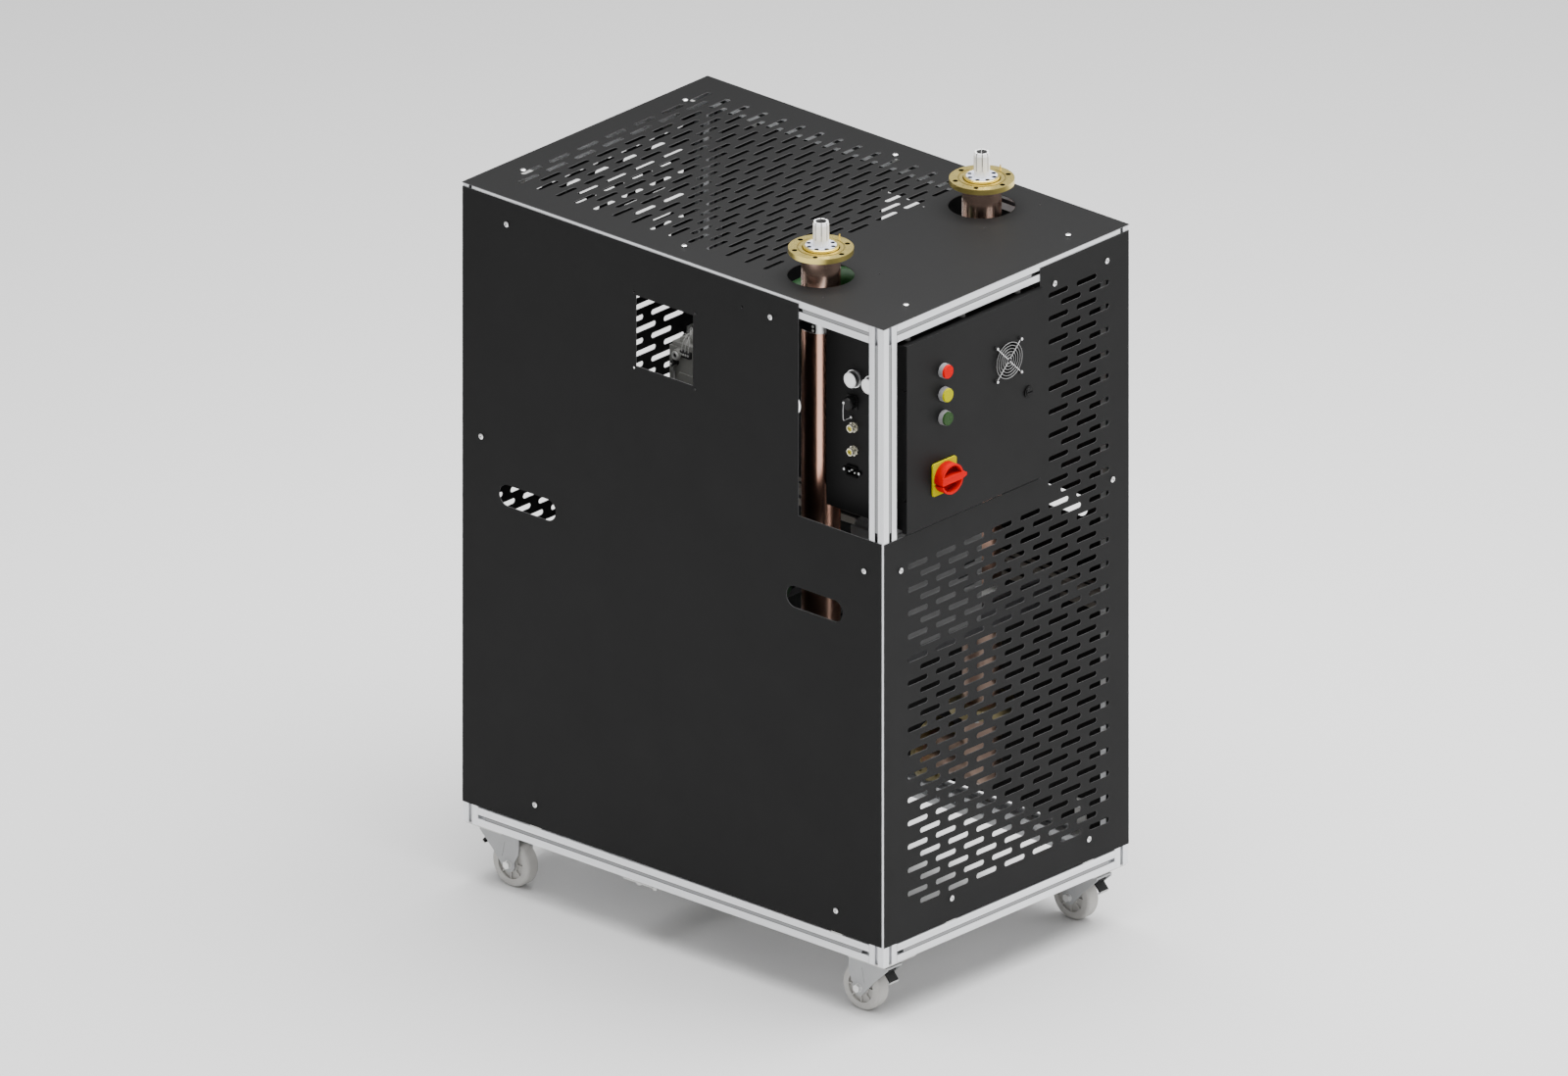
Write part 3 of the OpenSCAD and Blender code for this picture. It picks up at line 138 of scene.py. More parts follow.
def dress(material, *nodes):
    """Gives CAD nodes their finish."""
    for name in nodes:
        slots = frame["nodes"][name].data.materials
        slots.clear()
        slots.append(material)


def extrusion(along, nodes, dark, light):
    """Anodised aluminium with draw lines along one axis, and shade inside the profile's slots."""
    boxes = [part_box(name) for name in nodes]
    half, slot_half, slot_deep = 0.020, 0.00425, 0.0030
    closed, open_ended = 0.046, -1.0  # how far from an end strips and other bars close the slots
    shade_top = max(b[1].z for b in boxes) - (closed if along == 2 else open_ended)
    shade_foot = min(b[0].z for b in boxes) + (closed if len(nodes) > 1 else open_ended)
    bars = []
    for axis in {0, 1, 2} - {along}:
        low, high = min(b[0][axis] for b in boxes), max(b[1][axis] for b in boxes)
        bars.append((axis, (low + high) / 2, (high - low) / 2 - half))

    def paint(s):
        stretch = [1, 1, 1]
        stretch[along] = 0.02
        lines = s.grain(700, stretch, 2.0)
        bands = s.grain(95, stretch, 1.0)
        off = [s.math("ABSOLUTE", s.math("ABSOLUTE", s.part(axis) - middle) - reach)
               for axis, middle, reach in bars]
        deep = s.math("LESS_THAN", s.math("MAXIMUM", *off), half - slot_deep)
        mouth = s.math("LESS_THAN", s.math("MINIMUM", *off), slot_half)
        span = s.math("LESS_THAN", s.part(2), shade_top) * s.math("GREATER_THAN", s.part(2), shade_foot)
        shade = s.math("MAXIMUM", deep, mouth) * span * 0.8
        tone = (lines * 0.4 + bands * 0.6).between(dark, light)
        return {
            "Base Color": s.mix(shade, tone, (0.02, 0.02, 0.02)),
            "Roughness": 0.34 + lines * 0.16,
            "Normal": lines.relief(0.06, 0.0004),
        }

    return paint


silver_tones = (0.66, 0.67, 0.69), (0.97, 0.98, 1.0)
for along, nodes in ((2, ("posts_front", "posts_rear")), (1, ("bottom_side_rails", "top_side_rails")),
                     (0, ("bottom_end_rails", "top_end_rails"))):
    dress(finish("anodised_%d" % along, extrusion(along, nodes, *silver_tones), Metallic=0.88), *nodes)
# Mid rails: the dim bronze tone is a painted reflection of the copper lines, darkened as painted shade.
copper_reflection_in_shade = extrusion(1, ["mid_rails"], (0.16, 0.145, 0.125), (0.22, 0.20, 0.175))
dress(finish("anodised_bronze", copper_reflection_in_shade, Metallic=0.5), "mid_rails")


def dark_bar(s):
    """The cross bars carry the units; their black is painted shade."""
    lines = s.grain(700, (0.02, 1, 1), 2.0)
    tone = lines.between((0.045, 0.045, 0.048), (0.075, 0.075, 0.08))
    return {"Base Color": tone, "Roughness": 0.4 + lines * 0.15}


dress(finish("dark_bar", dark_bar, Metallic=0.4), "cross_bars")


# Castors: pressed zinc-plated top plates bolted into the frame's slots, and below them swivel
# forks moulded in light grey plastic. The wheels have a warm grey rubber tread; the brake
# pedals are black nylon.
def zinc(s):
    """Zinc plating: a soft, cloudy bloom over a fine grain."""
    bloom = s.grain(60, detail=5.0, rough=0.65)
    fine = s.grain(1400, detail=1.0)
    return {
        "Base Color": bloom.between((0.48, 0.48, 0.47), (0.66, 0.66, 0.64)),
        "Roughness": 0.30 + bloom * 0.25,
        "Normal": fine.relief(0.05, 0.0003),
    }


def moulded(dark, light, rough=0.42):
    """A moulded plastic: faint flow marks in the colour and a fine eroded texture."""

    def paint(s):
        flow = s.grain(35, detail=3.0)
        pores = s.grain(2200, detail=1.0)
        return {
            "Base Color": flow.between(dark, light),
            "Roughness": rough + flow * 0.12,
            "Normal": pores.relief(0.08, 0.0003),
        }

    return paint


def rubber(dark, light, rough=0.62):
    """Rubber or foam: dusty, with a finely pitted skin."""

    def paint(s):
        dust = s.grain(90, detail=6.0, rough=0.7)
        return {
            "Base Color": dust.between(dark, light),
            "Roughness": rough + dust * 0.2,
            "Normal": s.grain(1600, detail=2.0).relief(0.12, 0.0004),
        }

    return paint


pivots = {j["name"]: j["pos_m"] for j in frame["record"]["behaviour"]["joints"] if "pos_m" in j}
corners = ("front_left", "front_right", "rear_left", "rear_right")


def from_pivot(s, kind):
    """Squared distance, seen from the side, to the nearest castor's joint of one kind."""
    front, rear = pivots["front_left_" + kind], pivots["rear_left_" + kind]
    along = s.math("ABSOLUTE", s.part(1) - (front[1] + rear[1]) / 2) - (rear[1] - front[1]) / 2
    up = s.part(2) - front[2]
    return along * along + up * up


def fork_grey(s):
    """Light grey moulding, but bright steel where the hexagon heads of the axle bolt lie."""
    base = moulded((0.36, 0.365, 0.37), (0.43, 0.435, 0.44))(s)
    head_reach = 0.0088
    bolt = s.math("LESS_THAN", from_pivot(s, "roll"), head_reach ** 2)
    return {
        "Base Color": s.mix(bolt, base["Base Color"], (0.80, 0.80, 0.79)),
        "Roughness": base["Roughness"] - bolt * 0.15,
        "Metallic": bolt * 0.7,
        "Normal": base["Normal"],
    }


def pedal_nylon(s):
    """Dark nylon, lighter grey at its tip."""
    base = moulded((0.008, 0.008, 0.008), (0.014, 0.014, 0.014))(s)
    lighter_from = 0.0262
    tip = s.math("GREATER_THAN", from_pivot(s, "brake"), lighter_from ** 2)
    return {**base, "Base Color": s.mix(tip, base["Base Color"], (0.55, 0.55, 0.55))}


zinc_plate = finish("zinc_plate", zinc, Metallic=0.85)
wheel_tread = rubber((0.42, 0.41, 0.39), (0.50, 0.49, 0.47), 0.5)
dress(zinc_plate, "castor_plates", "hex_bolts")
dress(finish("castor_grey", fork_grey), *("fork_" + c for c in corners))
dress(finish("wheel_rubber", wheel_tread), *("wheel_" + c for c in corners))
dress(finish("pedal_nylon", pedal_nylon, Specular_IOR_Level=0.2), *("pedal_" + c for c in corners))


# Tie plate: a flat steel bar, cut from strip, drilled and zinc plated. It is bolted up against
# both lower side rails and ties them together under the frame.
dress(zinc_plate, "tie_plate")


# Tie nuts: four plated hexagon nuts of cold-formed steel below the tie plate, one under the
# head of each of its bolts, with the chamfered side down.
def turn(outline, foot, axis, steps=32):
    """A bmesh turned round an axis through foot; outline holds each point's radius and height."""
    made = bmesh.new()
    ring = [made.verts.new((r, 0, h)) for r, h in outline]
    side = [made.edges.new(pair) for pair in zip(ring, ring[1:])]
    bmesh.ops.spin(made, geom=ring + side, axis=(0, 0, 1), angle=math.tau, steps=steps)
    bmesh.ops.remove_doubles(made, verts=made.verts, dist=1e-6)
    bmesh.ops.recalc_face_normals(made, faces=made.faces)
    made.transform(Matrix.Translation(foot) @ Vector(axis).to_track_quat("Z", "Y").to_matrix().to_4x4())
    return made


def fit(name, shapes, material, body):
    """One piece from one or more bmesh shapes, on the body that carries it."""
    mesh = bpy.data.meshes.new(name)
    whole = bmesh.new()
    for shape in shapes:
        shape.to_mesh(mesh)
        whole.from_mesh(mesh)
        shape.free()
    whole.to_mesh(mesh)
    whole.free()
    mesh.shade_smooth()
    mesh.set_sharp_from_angle(angle=math.radians(32))
    mesh.materials.append(material)
    piece = bpy.data.objects.new(name, mesh)
    bpy.context.scene.collection.objects.link(piece)
    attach(piece, body)


downwards = (0, 0, -1)
low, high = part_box("tie_plate")
tie_middle = (low.y + high.y) / 2
bolt_head, bolt_inset, bolt_rows = 0.0050, 0.020, (-0.031, 0.011)
nut_corner, nut_face, nut_bore, nut_tall, chamfer = 0.0074, 0.0062, 0.0036, 0.0070, 0.0012
nut = [(0.0, nut_tall), (nut_bore, nut_tall), (nut_face, nut_tall),
       (nut_corner, nut_tall - chamfer), (nut_corner, 0.0), (0.0, 0.0)]
nuts = [turn(nut, Vector((x, tie_middle + row, low.z - bolt_head)), downwards, 6)
        for x in (low.x + bolt_inset, high.x - bolt_inset) for row in bolt_rows]
fit("tie_nuts", nuts, zinc_plate, "cabinet")


# Units inside: a supply unit painted light grey and a pump unit painted grey beige, each
# a closed sheet housing that stands on a cross bar. Their paint is smooth and half gloss.
def enamel(dark, light, rough=0.38):
    """Sprayed enamel: nearly even, with a faint orange peel."""

    def paint(s):
        haze = s.grain(14, detail=3.0)
        peel = s.grain(650, detail=1.0)
        return {
            "Base Color": haze.between(dark, light),
            "Roughness": rough + haze * 0.1,
            "Normal": peel.relief(0.06, 0.0004),
        }

    return paint


dress(finish("supply_enamel", enamel((0.15, 0.152, 0.152), (0.19, 0.192, 0.192))), "supply_unit")
dress(finish("pump_enamel", enamel((0.22, 0.22, 0.205), (0.26, 0.26, 0.245))), "pump_unit")


# Fittings of the pump unit: a nickel port collar and a small vent on the side that faces the
# window, a black terminal strip with plated screws, and thin leads from the top glands to it.
def block(low, high, edge):
    """A bmesh box between two corners with rounded edges."""
    made = bmesh.new()
    bmesh.ops.create_cube(made, size=1)
    low, high = Vector(low), Vector(high)
    made.transform(Matrix.Translation((low + high) / 2) @ Matrix.Diagonal((*(high - low), 1)))
    bmesh.ops.bevel(made, geom=made.edges[:], offset=edge, segments=2, profile=0.5, affect="EDGES")
    return made


def lead(name, points, width, material, body):
    """A wire or small hose through its points, with soft bends."""
    curve = bpy.data.curves.new(name, "CURVE")
    curve.dimensions, curve.use_fill_caps = "3D", True
    curve.bevel_depth, curve.bevel_resolution = width / 2, 3
    spline = curve.splines.new("NURBS")
    spline.points.add(len(points) - 1)
    for spot, place in zip(spline.points, points):
        spot.co = (*place, 1)
    spline.order_u, spline.use_endpoint_u, spline.resolution_u = 3, True, 8
    curve.materials.append(material)
    piece = bpy.data.objects.new(name, curve)
    bpy.context.scene.collection.objects.link(piece)
    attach(piece, body)


nickel = finish("nickel", zinc, Metallic=0.6)
port_dark = finish("port_dark", moulded((0.004, 0.004, 0.004), (0.008, 0.008, 0.008)))
terminal_black = finish("terminal_black", moulded((0.008, 0.008, 0.008), (0.014, 0.014, 0.014)))
lead_coat = finish("lead_coat", moulded((0.40, 0.40, 0.39), (0.50, 0.50, 0.49)))

pump_low, pump_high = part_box("pump_unit")
boss_tall, gland_tall = 0.014, 0.011
face, head = pump_low.x + boss_tall, pump_high.z - gland_tall
leftwards = (-1, 0, 0)
port = Vector((face, pump_high.y - 0.027, head - 0.020))
port_rim = [(0.0044, 0.0090), (0.0047, 0.0152), (0.0074, 0.0158), (0.0086, 0.0146), (0.0086, 0.0030),
            (0.0108, 0.0030), (0.0108, 0.0), (0.0044, 0.0), (0.0044, 0.0090)]
port_pit = [(0.0, 0.0122), (0.0042, 0.0122), (0.0043, 0.0128), (0.0, 0.0134), (0.0, 0.0122)]
vent = Vector((face, pump_high.y - 0.018, head - 0.040))
vent_pin = [(0.0, 0.0150), (0.0, 0.0186), (0.0018, 0.0184), (0.0026, 0.0172), (0.0026, 0.0150), (0.0, 0.0150)]
vent_body = [(0.0, 0.0), (0.0082, 0.0), (0.0082, 0.0024), (0.0060, 0.0030), (0.0058, 0.0140),
             (0.0046, 0.0152), (0.0, 0.0152), (0.0, 0.0)]
bright_parts = [turn(port_rim, port, leftwards), turn(vent_pin, vent, leftwards, 20)]
fit("pump_port", bright_parts, nickel, "cabinet")
dark_parts = [turn(port_pit, port, leftwards), turn(vent_body, vent, leftwards)]
fit("port_socket", dark_parts, port_dark, "cabinet")

strip_y, strip_deep, strip_edge = pump_high.y - 0.060, 0.0075, 0.0012
strip_low = (face - strip_deep, strip_y - 0.001, head - 0.023)
strip_high = (face, strip_y + 0.027, head - 0.009)
strip = block(strip_low, strip_high, strip_edge)
fit("terminal_strip", [strip], terminal_black, "cabinet")
pan = [(0.0, 0.0010), (0.0008, 0.0010), (0.0009, 0.0016), (0.0021, 0.0014), (0.0026, 0.0006), (0.0026, 0.0)]
first_screw, screw_pitch = Vector((face - 0.0074, strip_y + 0.0035, head - 0.016)), Vector((0, 0.0063, 0))
screws = [turn(pan, first_screw + i * screw_pitch, leftwards, 16) for i in range(4)]
fit("terminal_screws", screws, nickel, "cabinet")

gland_pitch, terminal_pitch, lead_width, drain_width = 0.020, 0.0085, 0.0018, 0.0036
for i in range(3):
    gland = Vector((face + 0.016 + i * gland_pitch, pump_high.y - 0.020, head + 0.008))
    terminal = Vector((face - 0.0065, strip_y + 0.004 + i * terminal_pitch, head - 0.0095))
    arch = 0.007 + i * 0.006
    route = [gland, gland + Vector((0, 0, arch)), gland + Vector((-0.006, -0.018, arch + 0.008)),
             Vector((face - 0.004, terminal.y - 0.004, head + arch)),
             terminal + Vector((0, 0, 0.012)), terminal]
    lead("pump_lead_%d" % i, route, lead_width, lead_coat, "cabinet")
drain = [(-0.012, 0, -0.005), (-0.012, 0.001, -0.013), (-0.006, 0.002, -0.018),
         (-0.0022, 0.002, -0.026), (-0.0022, 0.002, -0.060)]
route = [vent + Vector(step) for step in drain]
lead("pump_drain", route, drain_width, lead_coat, "cabinet")


# Hoses: two green rubber hoses with a half-gloss skin, pushed over their fittings. One feeds
# air from the pump unit to the control box, the other is a loop between two fittings.
dress(finish("hose_green", rubber((0.006, 0.055, 0.008), (0.012, 0.09, 0.014), 0.4)), "green_hoses")


# Coaxial lines: drawn copper tubes and mitred copper elbows, brazed to brass flanges, with
# silver-plated inner conductors held by white discs. The copper is lacquered and half bright;
# the brass is turned, so its faces show fine rings.
def from_line(s):
    """Offsets of a point from the axis of the line on its side, and its distance from that axis."""
    across = s.math("ABSOLUTE", s.part(0)) - line_top[0]
    along = s.part(1) - line_top[1]
    return across, along, s.math("SQRT", across * across + along * along)


def copper(s):
    """Lacquered copper, darker and rougher towards the elbows, paler and greyer near the top flange, and
    brass on the flanges round the tube.
    """
    haze = s.grain(16, (1, 1, 0.05), 2.0)
    drawn = s.grain(900, (1, 1, 0.015), 2.0)
    flange_from = 0.0435
    dulling_from, dulling_fully = line_foot[2] + 0.75, line_foot[2] + 0.35
    paling_from, paling_fully = line_top[2] - 0.10, line_top[2] - 0.06
    aside = s.math("ABSOLUTE", s.part(0)) - line_top[0]
    depth, height = s.part(1) - line_top[1], s.part(2) - line_foot[2]
    apart = s.math("MINIMUM", depth * depth, height * height) + aside * aside
    flange = s.math("GREATER_THAN", apart, flange_from ** 2)
    low_dulling = s.part(2).spread(dulling_from, dulling_fully)
    top_paling = s.part(2).spread(paling_from, paling_fully)
    lacquer = haze.between((0.84, 0.45, 0.33), (0.92, 0.52, 0.39))
    lacquer = s.mix(low_dulling, lacquer, (0.42, 0.30, 0.24))
    lacquer = s.mix(top_paling, lacquer, (0.74, 0.51, 0.41))
    return {
        "Base Color": s.mix(flange, lacquer, (0.36, 0.31, 0.17)),
        "Roughness": 0.20 + haze * 0.06 + flange * 0.06 + low_dulling * 0.15,
        "Normal": drawn.relief(0.012, 0.0002),
    }


def turned(dark, light, rough):
    """Turned metal: rings round each line's axis."""

    def paint(s):
        radius = from_line(s)[2]
        tool_marks = 9000
        rings = s.math("SINE", radius * tool_marks) * 0.5 + 0.5
        cloud = s.grain(30, detail=3.0)
        return {
            "Base Color": (rings * 0.25 + cloud * 0.75).between(dark, light),
            "Roughness": rough + rings * 0.06 + cloud * 0.08,
            "Normal": rings.relief(0.04, 0.0002),
        }

    return paint


def ring_of_holes(s, across, along, first, pitch, circle, hole):
    """One mask for each hole of a ring; first and pitch are in degrees, circle and hole are radii."""
    masks = []
    for i in range(360 // pitch):
        angle = math.radians(first + pitch * i)
        a, b = across - circle * math.cos(angle), along - circle * math.sin(angle)
        masks.append(s.math("LESS_THAN", a * a + b * b, hole ** 2))
    return masks


plain_brass = turned((0.88, 0.70, 0.19), (0.98, 0.80, 0.26), 0.20)


def bored_brass(s):
    """Turned brass, with painted shade inside the bolt holes, in the seal groove and in the bore."""
    base = plain_brass(s)
    across, along, radius = from_line(s)
    groove, bore, bolt_circle, bolt_hole = (0.0459, 0.0487), 0.0386, 0.05555, 0.0056
    shade = s.inside(radius, *groove) * 0.45 + s.math("LESS_THAN", radius, bore) * 0.8
    for mask in ring_of_holes(s, across, along, 30, 60, bolt_circle, bolt_hole):
        shade = shade + mask * 0.93
    dark = s.math("MINIMUM", shade, 0.95)
    return {**base, "Base Color": s.mix(dark, base["Base Color"], (0.02, 0.012, 0.004))}


def bored_disc(s):
    """White moulding, with painted shade in its ring of holes and in the gap round its rim."""
    base = moulded((0.44, 0.45, 0.52), (0.50, 0.51, 0.57), 0.4)(s)
    across, along, radius = from_line(s)
    rim, hole_circle, hole = 0.0338, 0.0262, 0.0050
    shade = s.math("GREATER_THAN", radius, rim)
    for mask in ring_of_holes(s, across, along, 22.5, 45, hole_circle, hole):
        shade = shade + mask
    dark = s.math("MINIMUM", shade, 1.0)
    return {**base, "Base Color": s.mix(dark, base["Base Color"], (0.02, 0.024, 0.04))}


def silver(s):
    """Silver or nickel plating with fine upright draw marks."""
    drawn = s.grain(800, (1, 1, 0.02), 2.0)
    return {
        "Base Color": drawn.between((0.88, 0.88, 0.88), (0.97, 0.97, 0.97)),
        "Roughness": 0.26 + drawn * 0.12,
        "Normal": drawn.relief(0.05, 0.0003),
    }


def sprung_end(s):
    """Silver plating, with painted shade in the four saw cuts and in the bore of the sprung end."""
    base = silver(s)
    across, along, radius = from_line(s)
    bore, cut_half, sprung_from = 0.0112, 0.0009, 0.018
    shade = s.math("LESS_THAN", radius, bore)
    for angle in (0, 45, 90, 135):
        turned_by = math.radians(angle)
        aside = across * math.cos(turned_by) + along * math.sin(turned_by)
        shade = shade + s.inside(aside, -cut_half, cut_half)
    top = s.math("GREATER_THAN", s.part(2), line_top[2] + sprung_from)
    dark = s.math("MINIMUM", shade * top, 0.9)
    return {**base, "Base Color": s.mix(dark, base["Base Color"], (0.01, 0.01, 0.01))}


mounts = {m["name"]: m["pos_m"] for m in frame["record"]["mounts"]}
line_top, line_foot = mounts["right_line_flange"], mounts["right_line_outlet"]
dress(finish("line_copper", copper, Metallic=1.0), "line_tubes", "line_elbows")
dress(finish("turned_brass", bored_brass, Metallic=1.0), "top_flanges")
dress(finish("insulator_white", bored_disc), "insulators")
dress(finish("silver_plating", sprung_end, Metallic=0.1), "inner_conductors")
dress(zinc_plate, "line_clamps")

# Tube sleeves: a nickel sleeve joins each tube to its top piece below the cover, and a black
# angle bracket with two screws steadies it from the side rail.
line_x, line_y = line_top[0], line_top[1]
rail_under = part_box("top_side_rails")[0].z
upwards = (0, 0, 1)
sleeve_in, sleeve_out, sleeve_edge, sleeve_tall = 0.0398, 0.0406, 0.0008, 0.059
sleeve_low = rail_under - 0.071
sleeve_wall = [(sleeve_in, 0.0), (sleeve_out, sleeve_edge), (sleeve_out, sleeve_tall - sleeve_edge),
               (sleeve_in, sleeve_tall), (sleeve_in, 0.0)]
sleeves = [turn(sleeve_wall, Vector((side * line_x, line_y, sleeve_low)), upwards, 64) for side in (-1, 1)]
fit("tube_sleeves", sleeves, finish("sleeve_nickel", silver, Metallic=1.0), "cabinet")

gauge, edge = 0.004, 0.0006
plate_x, strap_x, front_y, back_y = line_x + 0.058, line_x + 0.101, line_y - 0.0068, line_y + 0.0062
plate = (plate_x, line_y - 0.0388, rail_under - 0.056), (plate_x + gauge, back_y, rail_under - 0.036)
arm = (plate_x, front_y, rail_under - 0.0405), (strap_x, back_y, rail_under - 0.0365)
strap = (strap_x - gauge, front_y, rail_under - 0.0395), (strap_x, back_y, rail_under)
screw_y, screw_drops = line_y - 0.0343, (0.0505, 0.0420)
screw_head = [(0.0, 0.0), (0.0030, 0.0), (0.0030, 0.0010), (0.0020, 0.0021), (0.0, 0.0021), (0.0, 0.0)]
brackets, heads = [], []
for side in (-1, 1):
    for (x0, y0, z0), (x1, y1, z1) in (plate, arm, strap):
        near, far = sorted((side * x0, side * x1))
        brackets.append(block((near, y0, z0), (far, y1, z1), edge))
    for drop in screw_drops:
        seat = Vector((side * (plate_x + gauge), screw_y, rail_under - drop))
        heads.append(turn(screw_head, seat, (side, 0, 0), 20))
bracket_paint = moulded((0.004, 0.004, 0.004), (0.007, 0.007, 0.007))
bracket_black = finish("bracket_black", bracket_paint, Specular_IOR_Level=0.2)
fit("sleeve_brackets", brackets, bracket_black, "cabinet")
fit("bracket_screws", heads, nickel, "cabinet")

# Disc rings: a turned brass ring round each upper disc. It is pressed over the disc's rim and
# sits inside the top flange.
ring_wall = [(0.0316, 0.0052), (0.0318, 0.0058), (0.0360, 0.0060), (0.0368, 0.0053), (0.0368, -0.0100),
             (0.0350, -0.0100), (0.0350, 0.0052), (0.0316, 0.0052)]
rings = [turn(ring_wall, Vector((side * line_x, line_y, line_top[2])), upwards, 64) for side in (-1, 1)]
fit("disc_rings", rings, finish("ring_brass", plain_brass, Metallic=1.0), "cabinet")


# Control box: a folded steel case, powder coated black, hung from the top rail by three
# spacers. Inside, a zinc-plated mounting plate carries the relays.
def powder(dark, light, rough=0.50):
    """Powder coat: an even film with a fine orange peel and faint dusting."""

    def paint(s):
        peel = s.grain(1100, detail=2.0)
        dust = s.grain(7, detail=5.0, rough=0.6)
        return {
            "Base Color": (peel * 0.3 + dust * 0.7).between(dark, light),
            "Roughness": rough + dust * 0.12,
            "Normal": peel.relief(0.10, 0.0004),
        }

    return paint


coat_tones = (0.0030, 0.0030, 0.0031), (0.0039, 0.0039, 0.0040)
box_coat = finish("box_powder_coat", powder(*coat_tones), Specular_IOR_Level=0.175)
bright = finish("bright_plating", silver, Metallic=1.0)
dress(box_coat, "box_body")
dress(zinc_plate, "box_hangers")


def fitted_plate(s):
    """Zinc plate at the back; rails, relays and terminals in front of it, each in its own plastic."""
    base = zinc(s)
    relay_from, cells_per_metre = 0.012, 38.0
    relay = s.math("GREATER_THAN", plate_back - s.part(1), relay_from)
    cell = s.node("TexVoronoi", {"feature": "F1"}, {"Vector": s.place((1, 0, 0)), "Scale": cells_per_metre})
    upper = s.math("GREATER_THAN", s.part(2), plate_middle)
    body = upper.between((0.48, 0.48, 0.47), (0.60, 0.61, 0.62))
    plastic = s.mix(cell.spread(0.2, 0.9), body, (0.05, 0.05, 0.055))
    return {
        "Base Color": s.mix(relay, base["Base Color"], plastic),
        "Roughness": base["Roughness"] + relay * 0.1,
        "Metallic": 0.85 - relay * 0.85,
        "Normal": base["Normal"],
    }


low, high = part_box("box_plate")
plate_back, plate_middle = high.y, (low.z + high.z) / 2
dress(finish("fitted_plate", fitted_plate), "box_plate")


# Connectors on the box's left wall: two capped signal sockets in nickel, a black round
# connector, two gold-plated coaxial jacks and a black power inlet, each set in its own hole.
connector_plastic = moulded((0.004, 0.004, 0.004), (0.007, 0.007, 0.007))
black_plastic = finish("black_plastic", connector_plastic, Specular_IOR_Level=0.25)


def gold(s):
    """Pale gold jacks: deeper gold in the bore and on the contact, shade where body and nut meet."""
    haze = s.grain(400, detail=2.0)
    bore, neck, nut_back = 0.0062, 0.0092, 0.0125
    radius = s.math("MINIMUM", s.radius(jacks[0], (1, 2)), s.radius(jacks[1], (1, 2)))
    core = s.math("LESS_THAN", radius, bore)
    tone = s.mix(core, haze.between((0.84, 0.81, 0.66), (0.95, 0.92, 0.78)), (0.62, 0.56, 0.08))
    step = s.math("GREATER_THAN", s.part(0), jacks[0].x + nut_back) * s.math("LESS_THAN", radius, neck)
    return {"Base Color": s.mix(step * 0.8, tone, (0.02, 0.018, 0.012)), "Roughness": 0.2 + haze * 0.12}


low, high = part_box("coax_jacks")
jack_half = 0.010
jacks = [Vector((low.x, (low.y + high.y) / 2, z)) for z in (low.z + jack_half, high.z - jack_half)]
gold_plating = finish("gold_plating", gold, Metallic=0.8)


def capped(s):
    """Nickel, with a painted dark reflection and shade on each cap's side next to its flange, and painted
    shade in a groove round the cap's face.
    """
    base = silver(s)
    side_ring, groove_ring, side_from, groove_to = (0.0155, 0.0174), (0.0138, 0.0146), 0.0012, 0.001
    first, second = (s.radius(middle, (1, 2)) for middle in cap_middles)
    radius = s.math("MINIMUM", first, second)
    front = s.math("LESS_THAN", s.part(0), cap_face + groove_to)
    side_shade = s.inside(radius, *side_ring) * s.math("GREATER_THAN", s.part(0), cap_face + side_from)
    groove = s.inside(radius, *groove_ring) * front
    shade = side_shade * 0.82 + groove * 0.5
    return {**base, "Base Color": s.mix(shade, base["Base Color"], (0.01, 0.01, 0.01))}


low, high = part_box("signal_caps")
cap_half, cap_pitch, cap_face = 0.019, 0.047, low.x
first_cap = Vector((cap_face, high.y - cap_half, (low.z + high.z) / 2))
cap_middles = (first_cap, first_cap + Vector((0, -cap_pitch, 0)))
inlet_plastic = moulded((0.0006, 0.0006, 0.0006), (0.001, 0.001, 0.001))
dress(finish("capped_nickel", capped, Metallic=0.9), "signal_caps")
dress(black_plastic, "round_connector")
dress(finish("inlet_black", inlet_plastic, Specular_IOR_Level=0.05), "power_inlet")
dress(gold_plating, "coax_jacks")

# Small pieces on that wall: the chain that holds the round connector's cap, the inlet's three
# silvered contact blades and the two plated screws that hold the inlet.
low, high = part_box("round_connector")
cap = Vector((low.x, (low.y + high.y) / 2 + 0.0075, (low.z + high.z) / 2 - 0.002))
cap_eye = cap + Vector((0.0005, 0, 0.003))
wall_eye = Vector((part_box("box_body")[0].x, cap.y - 0.0065, cap.z - 0.031))
chain_width = 0.0012
chain = [cap_eye, cap + Vector((-0.0015, 0, -0.004)), cap + Vector((-0.0010, 0, -0.033)),
         cap + Vector((0.0005, -0.001, -0.0360)), wall_eye + Vector((-0.001, 0, 0))]
lead("cap_chain", chain, chain_width, bright, "cabinet")
eyelet = [(0.0005, 0.0014), (0.0022, 0.0014), (0.0026, 0.0008), (0.0026, 0.0)]
eyelets = [turn(eyelet, spot, leftwards, 20) for spot in (wall_eye, cap_eye)]
fit("chain_eyelets", eyelets, bright, "cabinet")

low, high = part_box("power_inlet")
inlet = Vector((low.x, (low.y + high.y) / 2, (low.z + high.z) / 2))
blade_low, blade_high = Vector((0.0006, -0.0020, -0.0011)), Vector((0.0172, 0.0020, 0.0011))
blade_edge = 0.0005
blades = []
for y, z in ((-0.0072, -0.0022), (0.0, 0.0028), (0.0072, -0.0022)):
    spot = inlet + Vector((0, y, z))
    blades.append(block(spot + blade_low, spot + blade_high, blade_edge))
fit("inlet_blades", blades, bright, "cabinet")
screw_half_pitch = 0.020
pan = [(0.0, 0.0010), (0.0011, 0.0010), (0.0013, 0.0022), (0.0026, 0.0017), (0.0031, 0.0007),
       (0.0031, 0.0), (0.0022, 0.0), (0.0022, -0.0014)]
screws = [turn(pan, inlet + Vector((0, side * screw_half_pitch, 0)), leftwards, 24) for side in (-1, 1)]
fit("inlet_screws", screws, bright, "cabinet")


